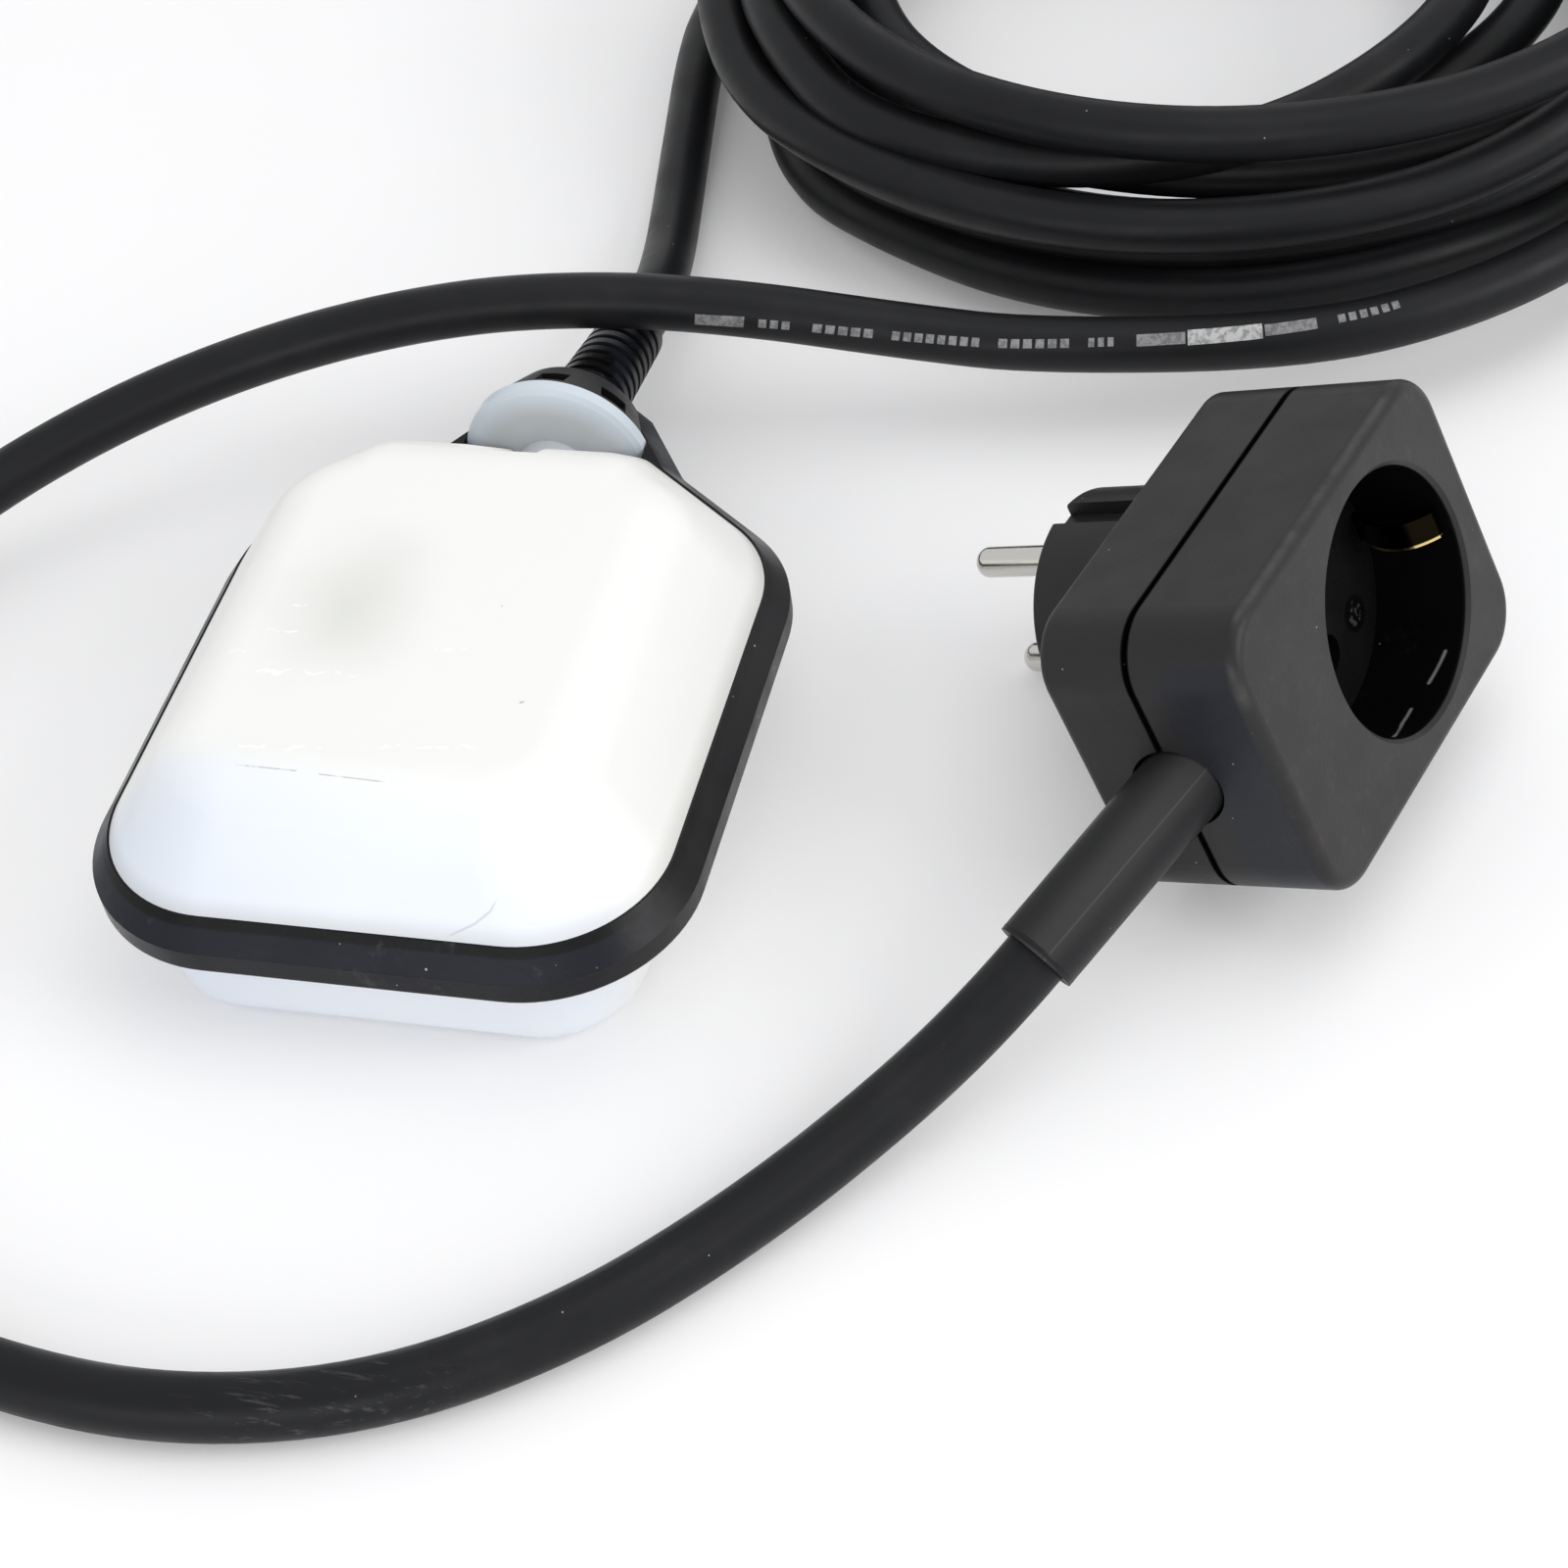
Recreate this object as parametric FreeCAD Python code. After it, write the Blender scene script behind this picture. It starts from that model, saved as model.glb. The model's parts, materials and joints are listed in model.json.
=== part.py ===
import FreeCAD, Part
import math
import os
from FreeCAD import Vector, Placement, Rotation

# Cable float switch: a flat float of two white shells round a sealed switch capsule,
# with its cable, a coil of that cable and a plug that carries a socket on its front.
# Millimetres. Z is up, Y runs along the float towards its cable, the origin lies on the
# surface under the middle of the float.

# float body
half_width = 46.7
half_length = 60.8
collar_length = 9.6
disc_depth = 2.6
disc_stand = 1.5
neck_stand = 0.3
shoulder_run = 19.5
shoulder_width = 24.7
neck_x = half_width - shoulder_width
disc_back = half_length - collar_length
disc_front = disc_back - disc_depth
shell_far = disc_front - disc_stand
neck_y = shell_far - neck_stand
shoulder_y = neck_y - shoulder_run
parting = 21.5
rim_drop = 4.0
rim_rise = 4.0
near_corner = 24.0
shoulder_corner = 24.0
neck_end_x = 12.8
seal_side = 3.5
seal_near = 3.9
seal_shoulder = 3.6
seal_lip = 0.4
shell_wall = 2.6
shell_gap = 0.1
tongue_length = 2.0
tongue_width = 1.2
tongue_play = 0.15
end_boss = 9.1

# each shell: how far it draws in from seal to crown at the near end, the sides, the
# shoulders and the cable end, and the rounding of its crown
shell_rise = 17.5
upper_draft = (11.0, 12.4, 11.5, 19.0)
upper_round = 12.0
lower_draft = (2.0, 8.0, 8.0, 17.0)
lower_round = 6.0
near_fall = 7.6
shoulder_fall = 7.6
end_corner = 6.0
end_growth = 6.0
notch_width = 13.0
notch_level = shell_far + 27.1
notch_pitch = 1.13
notch_corner = 2.5

# cable gland of the float
cable_d = 9.4
cable_play = 0.05
disc_r = 15.6
disc_crown = disc_stand - shell_gap
disc_play = 0.3
spigot_r = 6.3
spigot_play = 0.05
grommet_r = 7.4
grommet_seat_r = 9.0
seat_play = 0.3
collar_base_r = 14.9
collar_tip_r = 11.4
collar_core_r = 8.6
window_count = 8
window_width = 5.0
window_length = 3.4
window_start = disc_back + 1.4
relief_length = 31.0
relief_base_r = 6.7
relief_tip_r = 5.7
relief_groove = 0.95
relief_pitch = 3.0
relief_rings = 8
relief_first = 5.0
relief_droop = 12.0

# switch capsule inside the float
capsule_side_in = 19.7
capsule_near_in = 14.8
capsule_far_in = 16.3
capsule_half_z = 12.0
capsule_half_x = half_width - capsule_side_in
capsule_near = capsule_near_in - half_length
capsule_far = shell_far - capsule_far_in
capsule_low = parting - capsule_half_z
capsule_high = parting + capsule_half_z
capsule_wall = 2.0
capsule_corner = 8.0
screw_boss_r = 3.0
screw_r = 1.25
screw_head_r = 2.4
screw_head = 1.6
screw_length = 15.0
pad_r = 4.0
pad_in = 14.0
pad_side = capsule_half_x - 10.0
pad_near = capsule_near + pad_in
pad_far = capsule_far - 14.8
pad_spots = [(-pad_side, pad_near), (pad_side, pad_near), (-pad_side, pad_far), (pad_side, pad_far)]

# microswitch, lever and ball
pivot_x = 11.0 - capsule_half_x
pivot_y = capsule_near + 37.0
pivot_play = 0.05
lever_pin_r = 0.6
lever_barrel_r = 1.1
lever_thick = 0.4
lever_width = 6.0
lever_length = 13.0 - pivot_x
lever_rest = 28.0
lever_pressed = 5.0
switch_length = 27.8
switch_height = 10.3
switch_depth = 15.9
switch_stand = 2.0
switch_margin = 4.0
ear_thick = 1.0
ear_play = 0.3
post_pitch = 22.2
post_r = 1.55
post_play = 0.05
plunger_r = 1.25
plunger_play = 0.05
plunger_arm = 3.6
plunger_gap = 0.12
plunger_shank = 6.5
plunger_bore = 9.0
ball_r = 8.0
ball_gap = 0.3
track_half_x = 11.0
track_top = parting - 4.0
track_wall = 3.0
track_stop_top = parting + 2.5
tab_width = 4.8
tab_thick = 0.8
tab_length = 6.5
tab_first_x = pivot_x + 1.0
tab_pitch = 9.0
wire_d = 2.2
wire_circle = 2.6
jacket_end = capsule_far + 4.0

# plug with its socket, in its own frame: x out of the socket, z away from the cable
plug_at = Vector(139.8, 12.8, 37.0)
plug_heading = 72.8
plug_tilt = 21.3
plug_half_w = 24.4
plug_low = -39.2
plug_high = 26.0
plug_corner = 8.6
front_depth = 17.5
back_depth = 14.4
seam_width = 0.9
seam_inset = 1.5
front_round = 2.0
back_round = 1.5
plug_wall = 2.6
boss_r = 18.4
boss_length = 18.9
boss_round = 1.0
recess_r = 19.5
recess_depth = 15.5
insert_play = 0.1
insert_flange_r = 20.6
insert_flange = 2.4
contact_hole_r = 3.0
pin_r = 2.4
pin_root_r = 2.2
pin_length = 19.0
pin_pitch = 19.0
pin_collar_r = 3.6
contact_sleeve_r = 3.7
contact_sleeve = 8.0
clip_width = 4.5
clip_thick = 0.7
clip_apex = 15.0
clip_apex_at = 6.4
clip_length = 13.2
clip_front = 2.2
strap_thick = 0.8
guide_width = 5.0
guide_depth = 2.4
earth_groove = 7.0
earth_strip = 5.0
insert_post_y = 13.5
insert_post_z = 12.5
insert_post_r = 2.4
insert_screw_radius = 14.0
insert_screw_head_r = 2.6
exit_y = 1.3
sleeve_r = 6.15
sleeve_bore_play = 0.1
sleeve_hole_r = 6.7
sleeve_out = 30.7
sleeve_in = 9.0
sleeve_lip = 1.2
sleeve_back = -0.435
sleeve_down = 0.262
clamp_width = 28.0
sleeve_hole_play = 1.0
clamp_reach = 5.5
clamp_past = 1.5
clamp_play = 0.3

# cable on the floor
floor_z = cable_d / 2
coil_x = 88.0
coil_y = 208.0
coil_inner = 61.0
coil_outer = 102.5
coil_height = 43.0
coil_waist = 27.0
coil_belly = 16.0
coil_crest = 92.0
lead_route = [
    (-3.6, 126.0, 6.6),
    (-8.0, 147.0, floor_z),
    (-12.0, 169.0, floor_z),
    (-13.0, 190.0, floor_z),
]
run_route = [
    (79.0, -63.0, 7.6),
    (63.0, -81.5, floor_z),
    (44.0, -102.3, floor_z),
    (20.0, -117.8, floor_z),
    (-8.0, -124.8, floor_z),
    (-37.0, -122.0, floor_z),
    (-65.0, -113.0, floor_z),
    (-91.0, -97.0, floor_z),
    (-111.0, -74.0, floor_z),
    (-123.5, -46.0, floor_z),
    (-127.5, -15.5, 6.5),
    (-121.0, 15.0, 12.0),
    (-103.0, 41.0, 19.0),
    (-76.5, 60.0, 27.5),
    (-46.0, 73.5, 35.5),
    (-15.0, 80.5, 38.3),
    (15.0, 83.0, 38.3),
    (44.0, 86.5, 31.0),
    (72.0, 92.5, 19.5),
    (99.0, 96.0, 15.0),
]


def inset_polygon(points, insets):
    """Move each edge of a convex polygon inwards and join the edges again."""
    count = len(points)
    lines = []
    for i in range(count):
        a = Vector(*points[i], 0)
        b = Vector(*points[(i + 1) % count], 0)
        along = (b - a).normalize()
        inwards = Vector(-along.y, along.x, 0)
        lines.append((a + inwards * insets[i], along))
    result = []
    for i in range(count):
        p, u = lines[i - 1]
        q, v = lines[i]
        cross = u.x * v.y - u.y * v.x
        step = ((q.x - p.x) * v.y - (q.y - p.y) * v.x) / cross
        corner = p + u * step
        result.append((corner.x, corner.y))
    return result


def rounded_wire(corners, radii):
    """Closed wire of straight edges with a tangent arc at each corner."""
    count = len(corners)
    starts = []
    ends = []
    mids = []
    for i in range(count):
        p = corners[i]
        back = (corners[i - 1] - p).normalize()
        ahead = (corners[(i + 1) % count] - p).normalize()
        half = back.getAngle(ahead) / 2
        reach = radii[i] / math.tan(half)
        middle = (back + ahead).normalize()
        centre = p + middle * (radii[i] / math.sin(half))
        starts.append(p + back * reach)
        ends.append(p + ahead * reach)
        mids.append(centre - middle * radii[i])
    edges = []
    for i in range(count):
        edges.append(Part.Arc(starts[i], mids[i], ends[i]).toShape())
        edges.append(Part.LineSegment(ends[i], starts[(i + 1) % count]).toShape())
    return Part.Wire(edges)


def flat_wire(points, radii, z):
    return rounded_wire([Vector(x, y, z) for x, y in points], radii)


def prism(points, radii, low, high):
    face = Part.Face(flat_wire(points, radii, low))
    return face.extrude(Vector(0, 0, high - low))


def box(x0, y0, z0, x1, y1, z1):
    return Part.makeBox(x1 - x0, y1 - y0, z1 - z0, Vector(x0, y0, z0))


def rod(x, y, z, axis, radius, length):
    return Part.makeCylinder(radius, length, Vector(x, y, z), axis)


def turned(profile, origin, axis, radial):
    """Solid of revolution; each profile point is (distance along the axis, radius)."""
    points = [origin + axis * a + radial * r for a, r in profile]
    points.append(points[0])
    face = Part.Face(Part.makePolygon(points))
    return face.revolve(origin, axis, 360)


def tube_path(route):
    """Straight runs joined by tangent arcs; returns the wire and its arc radii."""
    edges = []
    radii = []
    at = route[0]
    for i in range(1, len(route) - 1):
        p = route[i]
        back = route[i - 1] - p
        ahead = route[i + 1] - p
        turn = math.pi - back.getAngle(ahead)
        reach = 0.45 * min(back.Length, ahead.Length)
        radius = reach / math.tan(turn / 2)
        radii.append(radius)
        start = p + back.normalize() * reach
        end = p + ahead.normalize() * reach
        middle = (back + ahead).normalize()
        gap = radius / math.cos(turn / 2)
        edges.append(Part.LineSegment(at, start).toShape())
        edges.append(Part.Arc(start, p + middle * (gap - radius), end).toShape())
        at = end
    edges.append(Part.LineSegment(at, route[-1]).toShape())
    return Part.Wire(edges), radii


def tube(route, radius):
    path, radii = tube_path(route)
    way = route[1] - route[0]
    ring = Part.Wire(Part.makeCircle(radius, route[0], way))
    solid = path.makePipe(Part.Face(ring))
    return solid, path, radii


def body_outline():
    """Corners of the float seen from above, up to the line where the shells end."""
    lean = (half_width - neck_x) / (neck_y - shoulder_y)
    end_x = neck_x - lean * (shell_far - neck_y)
    return [
        (-half_width, -half_length),
        (half_width, -half_length),
        (half_width, shoulder_y),
        (end_x, shell_far),
        (-end_x, shell_far),
        (-half_width, shoulder_y),
    ]


def shell_outline(draft, share, far_in, extra=0.0):
    """Outline of a shell at a share of its rise, a wall's thickness further in with extra."""
    near, side, shoulder, far = draft
    near_in = seal_near + near * share + extra
    side_in = seal_side + side * share + extra
    shoulder_in = seal_shoulder + shoulder * share + extra
    end_in = far * share + far_in
    insets = [near_in, side_in, shoulder_in, end_in, shoulder_in, side_in]
    points = inset_polygon(body_outline(), insets)
    near_r = near_corner - seal_side - extra - near_fall * share
    shoulder_r = shoulder_corner - seal_side - extra - shoulder_fall * share
    end_r = end_corner + end_growth * share - extra
    return points, [near_r, near_r, shoulder_r, end_r, end_r, shoulder_r]


def shell_block(draft, rise, rounding, far_in, extra=0.0):
    """Drafted block on the seal with its crown rounded."""
    seat = parting + rim_rise
    base_points, base_radii = shell_outline(draft, 0.0, far_in, extra)
    top_points, top_radii = shell_outline(draft, rise / shell_rise, far_in, extra)
    base = flat_wire(base_points, base_radii, seat)
    top = flat_wire(top_points, top_radii, seat + rise)
    block = Part.makeLoft([base, top], True, True)
    crown = [e for e in block.Edges if e.BoundBox.ZMin > seat + rise - 0.01]
    return block.makeFillet(rounding, crown)


def shell_form(draft, rounding):
    """Outer form of a shell, upside up, and the hollow inside it."""
    seat = parting + rim_rise
    points, radii = shell_outline(draft, 0.0, 0.0)
    outer = shell_block(draft, shell_rise, rounding, 0.0)
    outer = outer.fuse(prism(points, radii, parting + shell_gap, seat))
    points, radii = shell_outline(draft, 0.0, end_boss, shell_wall)
    hollow_draft = draft[:3] + (draft[3] + shell_wall - end_boss,)
    rise = shell_rise - shell_wall
    inner = shell_block(hollow_draft, rise, rounding - shell_wall, end_boss, shell_wall)
    inner = inner.fuse(prism(points, radii, parting - 1.0, seat))
    return outer, inner


def notch_tool():
    """Channel down the sloping end of a shell, above the gland."""
    slope = Vector(0, notch_pitch, -1).normalize()
    out = Vector(0, 1, notch_pitch).normalize()
    start = Vector(0, notch_level - notch_pitch * (parting + 20.0), parting + 20.0)
    half = notch_width / 2
    wide = Vector(1, 0, 0)
    corners = [start - wide * half, start + wide * half]
    corners += [start + wide * (half + 4.0) + out * 14.0, start - wide * (half + 4.0) + out * 14.0]
    wire = rounded_wire(corners, [notch_corner, notch_corner, 1.0, 1.0])
    return Part.Face(wire).extrude(slope * 40.0)


def make_shell(draft, rounding):
    outer, inner = shell_form(draft, rounding)
    shell = outer.cut(inner)
    for x, y in pad_spots:
        pad = rod(x, y, capsule_high, Vector(0, 0, 1), pad_r, 12.0)
        shell = shell.fuse(pad.common(outer))
    shell = shell.cut(notch_tool())
    seat = rod(0, 0, parting, Vector(0, 1, 0), grommet_seat_r + seat_play, shell_far - end_boss)
    hole = rod(0, 0, parting, Vector(0, 1, 0), spigot_r + spigot_play, half_length)
    return shell.cut(seat).cut(hole)


def make_upper_shell():
    shell = make_shell(upper_draft, upper_round)
    far_in = end_boss + 1.0
    outer_in = shell_wall + tongue_play
    inner_in = outer_in + tongue_width
    outer_points, outer_radii = shell_outline(upper_draft, 0.0, far_in, outer_in)
    inner_points, inner_radii = shell_outline(upper_draft, 0.0, far_in + tongue_width, inner_in)
    root_points, root_radii = shell_outline(upper_draft, 0.0, end_boss - 0.5, shell_wall - 0.5)
    low = parting - tongue_length
    high = parting + tongue_length
    tongue = prism(outer_points, outer_radii, low, parting + shell_gap)
    tongue = tongue.fuse(prism(root_points, root_radii, parting + shell_gap, high))
    tongue = tongue.cut(prism(inner_points, inner_radii, low - 1.0, high + 1.0))
    gap = rod(0, 0, parting, Vector(0, 1, 0), grommet_seat_r + 0.5, half_length)
    return shell.fuse(tongue.cut(gap)).removeSplitter()


def make_lower_shell():
    shell = make_shell(lower_draft, lower_round)
    return shell.mirror(Vector(0, 0, parting), Vector(0, 0, 1))


def rim_outline(inset, near_inset):
    points = [
        (-half_width, -half_length),
        (half_width, -half_length),
        (half_width, shoulder_y),
        (neck_x, neck_y),
        (neck_end_x, half_length),
        (-neck_end_x, half_length),
        (-neck_x, neck_y),
        (-half_width, shoulder_y),
    ]
    insets = [near_inset, inset, inset, inset, 0.0, inset, inset, inset]
    near_r = near_corner - inset
    side_r = shoulder_corner - inset
    radii = [near_r, near_r, side_r, 5.0, 1.2, 1.2, 5.0, side_r]
    return inset_polygon(points, insets), radii


def make_rim_seal():
    """Moulded band round the joint, drawn in to the gland at the cable end."""
    points, radii = rim_outline(0.0, 0.0)
    seat = shell_far - 6.0
    band = prism(points, radii, parting - rim_drop, parting)
    low_edges = [e for e in band.Edges if e.BoundBox.ZMax < parting - rim_drop + 0.01]
    band = band.makeFillet(0.8, low_edges)
    top_points, top_radii = rim_outline(seal_side - seal_lip, seal_near - seal_lip)
    base = flat_wire(points, radii, parting)
    crest = flat_wire(top_points, top_radii, parting + rim_rise)
    band = band.fuse(Part.makeLoft([base, crest], True, True))
    shell_points, shell_radii = shell_outline(upper_draft, 0.0, 0.0)
    band = band.cut(prism(shell_points, shell_radii, 0.0, 2 * parting))
    room = disc_r + disc_play
    band = band.cut(rod(0, seat, parting, Vector(0, 1, 0), room, disc_back - seat))
    return band.cut(collar_form()).removeSplitter()


def collar_form():
    length = half_length - disc_back
    profile = [
        (0.0, 0.0),
        (0.0, collar_base_r),
        (1.0, collar_base_r),
        (length - 1.0, collar_tip_r),
        (length, collar_tip_r - 1.0),
        (length, 0.0),
    ]
    return turned(profile, Vector(0, disc_back, parting), Vector(0, 1, 0), Vector(0, 0, 1))


def make_gland_collar():
    """Tapered collar with a row of windows round it."""
    collar = collar_form()
    window = box(-window_width / 2, window_start, parting + collar_core_r,
                 window_width / 2, window_start + window_length, parting + 20.0)
    for i in range(window_count):
        spot = window.copy()
        spot.rotate(Vector(0, 0, parting), Vector(0, 1, 0), i * 360.0 / window_count)
        collar = collar.cut(spot)
    bore, path, radii = tube(inner_cable_route(), cable_d / 2 + cable_play)
    return collar.cut(bore)


def make_gland_disc():
    """Domed flange with a spigot that carries the cable into the capsule."""
    crown = disc_front - disc_crown
    centre = Vector(0, 0, parting)
    rise = disc_r - 1.0
    profile_arc = Part.Arc(
        Vector(0, crown, parting + spigot_r),
        Vector(0, crown + disc_crown * 0.32, parting + rise * 0.7),
        Vector(0, disc_front, parting + rise),
    ).toShape()
    outline = [
        Vector(0, disc_front, parting + rise),
        Vector(0, disc_front + 0.5, parting + disc_r),
        Vector(0, disc_back, parting + disc_r),
        Vector(0, disc_back, parting),
        Vector(0, capsule_far, parting),
        Vector(0, capsule_far, parting + grommet_seat_r),
        Vector(0, shell_far - end_boss - 0.5, parting + grommet_seat_r),
        Vector(0, shell_far - end_boss - 0.5, parting + spigot_r),
        Vector(0, crown, parting + spigot_r),
    ]
    wire = Part.Wire([profile_arc] + Part.makePolygon(outline).Edges)
    disc = Part.Face(wire).revolve(centre, Vector(0, 1, 0), 360)
    seat_length = shell_far - end_boss - 2.0 - capsule_far
    seat = rod(0, capsule_far, parting, Vector(0, 1, 0), grommet_r, seat_length)
    bore, path, radii = tube(inner_cable_route(), cable_d / 2 + cable_play)
    return disc.cut(seat).cut(bore)


def make_cable_grommet():
    length = shell_far - end_boss - 2.0 - jacket_end
    ring = rod(0, jacket_end, parting, Vector(0, 1, 0), grommet_r, length)
    bore_r = cable_d / 2 + cable_play
    return ring.cut(rod(0, jacket_end - 1.0, parting, Vector(0, 1, 0), bore_r, length + 2.0))


def droop_axis():
    angle = math.radians(relief_droop)
    return Vector(0, math.cos(angle), -math.sin(angle))


def relief_tip():
    return Vector(0, half_length, parting) + droop_axis() * relief_length


def inner_cable_route():
    return [Vector(0, jacket_end, parting), Vector(0, half_length, parting), relief_tip()]


def make_bend_relief():
    """Ribbed sleeve that tapers along the drooping cable."""
    axis = droop_axis()
    angle = math.radians(relief_droop)
    up = Vector(0, math.sin(angle), math.cos(angle))
    profile = [(-4.0, 0.0), (-4.0, relief_base_r)]
    slope = (relief_base_r - relief_tip_r) / relief_length
    for i in range(relief_rings):
        start = relief_first + i * relief_pitch
        for offset, depth in ((0.0, 0.0), (0.25, relief_groove), (1.15, relief_groove), (1.4, 0.0)):
            profile.append((start + offset, relief_base_r - slope * (start + offset) - depth))
    profile.append((relief_length - 0.6, relief_tip_r))
    profile.append((relief_length, relief_tip_r - 0.5))
    profile.append((relief_length, 0.0))
    sleeve = turned(profile, Vector(0, half_length, parting), axis, up)
    sleeve = sleeve.cut(box(-20, half_length - 20, 0, 20, half_length, 2 * parting))
    bore, path, radii = tube(inner_cable_route(), cable_d / 2 + cable_play)
    return sleeve.cut(bore)


def capsule_outline(inset):
    x = capsule_half_x - inset
    low = capsule_near + inset
    high = capsule_far - inset
    return [(-x, low), (x, low), (x, high), (-x, high)], [capsule_corner - inset] * 4


def capsule_half(low, high, floor_low, floor_high):
    outer_points, outer_radii = capsule_outline(0.0)
    inner_points, inner_radii = capsule_outline(capsule_wall)
    half = prism(outer_points, outer_radii, low, high)
    room = prism(inner_points, inner_radii, low - 1.0, high + 1.0)
    room = room.cut(box(-60, -80, floor_low, 60, 80, floor_high))
    half = half.cut(room)
    for x, y in capsule_screw_spots():
        half = half.fuse(rod(x, y, low, Vector(0, 0, 1), screw_boss_r, high - low))
    port = rod(0, capsule_far - 2 * capsule_wall, parting, Vector(0, 1, 0), cable_d / 2, 3 * capsule_wall)
    return half.cut(port)


def capsule_screw_spots():
    x = capsule_half_x - capsule_wall - screw_boss_r + 0.5
    near = capsule_near + capsule_wall + screw_boss_r + 2.0
    far = capsule_far - capsule_wall - screw_boss_r - 2.0
    return [(-x, near), (x, near), (-x, far), (x, far)]


def switch_left():
    return pivot_x - switch_margin


def switch_front():
    return pivot_y + switch_stand


def post_spots():
    middle_x = switch_left() + switch_length / 2
    y = switch_front() + switch_depth - 3.2
    return [(middle_x - post_pitch / 2, y), (middle_x + post_pitch / 2, y)]


def make_capsule_base():
    floor = capsule_low + capsule_wall
    base = capsule_half(capsule_low, parting, capsule_low, floor)
    front = switch_front()
    left = switch_left()
    under = parting - switch_height / 2
    right = left + switch_length
    rest = box(left + 1.0, front + 3.0, floor, right - 1.0, front + switch_depth - 0.5, under)
    base = base.fuse(rest)
    for x, y in post_spots():
        base = base.fuse(rod(x, y, floor, Vector(0, 0, 1), post_r, parting + switch_height / 2 - floor))
    for x, y in capsule_screw_spots():
        depth = screw_length - (capsule_high - screw_head - parting)
        base = base.cut(rod(x, y, parting - depth - 0.5, Vector(0, 0, 1), screw_r, depth + 1.0))
    return base.removeSplitter()


def make_capsule_cover():
    ceiling = capsule_high - capsule_wall
    cover = capsule_half(parting, capsule_high, ceiling, capsule_high)
    for x, y in capsule_screw_spots():
        cover = cover.cut(rod(x, y, parting - 1.0, Vector(0, 0, 1), screw_r, 20.0))
        cover = cover.cut(rod(x, y, capsule_high - screw_head, Vector(0, 0, 1), screw_head_r + 0.1, 5.0))
    return cover.removeSplitter()


def make_capsule_screws():
    screws = []
    for x, y in capsule_screw_spots():
        head_at = capsule_high - screw_head
        head = rod(x, y, head_at, Vector(0, 0, 1), screw_head_r, screw_head - 0.1)
        shank = rod(x, y, head_at - screw_length, Vector(0, 0, 1), screw_r, screw_length)
        slot = box(x - 3.0, y - 0.3, head_at + 0.8, x + 3.0, y + 0.3, head_at + 3.0)
        screws.append(head.fuse(shank).cut(slot).removeSplitter())
    return Part.makeCompound(screws)


def ball_distance(angle):
    """Distance along Y from the lever's pivot to the ball that the lever just clears."""
    a = math.radians(angle)
    reach = ball_r + lever_thick / 2 + ball_gap
    return (reach - pivot_x * math.sin(a)) / math.cos(a)


def ball_rest_y():
    return pivot_y - ball_distance(lever_rest)


def ball_travel():
    return ball_distance(lever_rest) - ball_distance(lever_pressed)


def plunger_centre(angle):
    a = math.radians(angle)
    reach = plunger_r + lever_thick / 2 + plunger_gap
    return pivot_y + (reach - plunger_arm * math.sin(a)) / math.cos(a)


def plunger_travel():
    return plunger_centre(lever_pressed) - plunger_centre(lever_rest)


def make_steel_ball():
    return Part.makeSphere(ball_r, Vector(0, ball_rest_y(), parting))


def make_ball_track():
    """Trough that the ball rolls in, with a stop at its far end."""
    floor = capsule_low + capsule_wall
    stop = ball_rest_y() - ball_r - ball_gap
    front = switch_front() - 2.0
    block = box(-track_half_x, stop - track_wall, floor, track_half_x, front, track_top)
    block = block.fuse(box(-track_half_x, stop - track_wall, floor, track_half_x, stop, track_stop_top))
    groove = rod(0, stop, parting, Vector(0, 1, 0), ball_r + ball_gap, 60.0)
    return block.cut(groove).removeSplitter()


def make_microswitch():
    left = switch_left()
    front = switch_front()
    low = parting - switch_height / 2
    high = parting + switch_height / 2
    body = box(left, front, low, left + switch_length, front + switch_depth, high)
    edges = [e for e in body.Edges if abs(e.BoundBox.ZLength - switch_height) < 0.01]
    body = body.makeFillet(0.8, edges)
    for side in (-1, 1):
        inner = side * (lever_width / 2 + ear_play)
        outer = side * (lever_width / 2 + ear_play + ear_thick)
        z0 = parting + min(inner, outer)
        ear = box(pivot_x - 1.4, pivot_y - 1.0, z0, pivot_x + 1.4, front + 1.0, z0 + ear_thick)
        body = body.fuse(ear)
    body = body.cut(rod(pivot_x, pivot_y, low, Vector(0, 0, 1), lever_pin_r, switch_height))
    bore = rod(pivot_x + plunger_arm, front - 1.0, parting, Vector(0, 1, 0),
               plunger_r + plunger_play, plunger_bore + 1.0)
    body = body.cut(bore)
    for x, y in post_spots():
        body = body.cut(rod(x, y, low - 1.0, Vector(0, 0, 1), post_r + post_play, switch_height + 2.0))
    return body.removeSplitter()


def make_lever_pin():
    reach = lever_width / 2 + ear_play + ear_thick
    return rod(pivot_x, pivot_y, parting - reach, Vector(0, 0, 1), lever_pin_r, 2 * reach)


def make_switch_lever():
    """Spring steel blade with a barrel rolled round its pin, leaning towards the ball."""
    low = parting - lever_width / 2
    barrel = rod(pivot_x, pivot_y, low, Vector(0, 0, 1), lever_barrel_r, lever_width)
    half = lever_thick / 2
    blade = box(pivot_x, pivot_y - half, low, pivot_x + lever_length, pivot_y + half, low + lever_width)
    edges = [e for e in blade.Edges if e.BoundBox.XMin > pivot_x + lever_length - 0.1
             and abs(e.BoundBox.YLength - lever_thick) < 0.01]
    blade = blade.makeFillet(1.5, edges)
    lever = barrel.fuse(blade)
    lever = lever.cut(rod(pivot_x, pivot_y, low - 1.0, Vector(0, 0, 1),
                          lever_pin_r + pivot_play, lever_width + 2.0))
    lever.rotate(Vector(pivot_x, pivot_y, 0), Vector(0, 0, 1), -lever_rest)
    return lever.removeSplitter()


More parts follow.
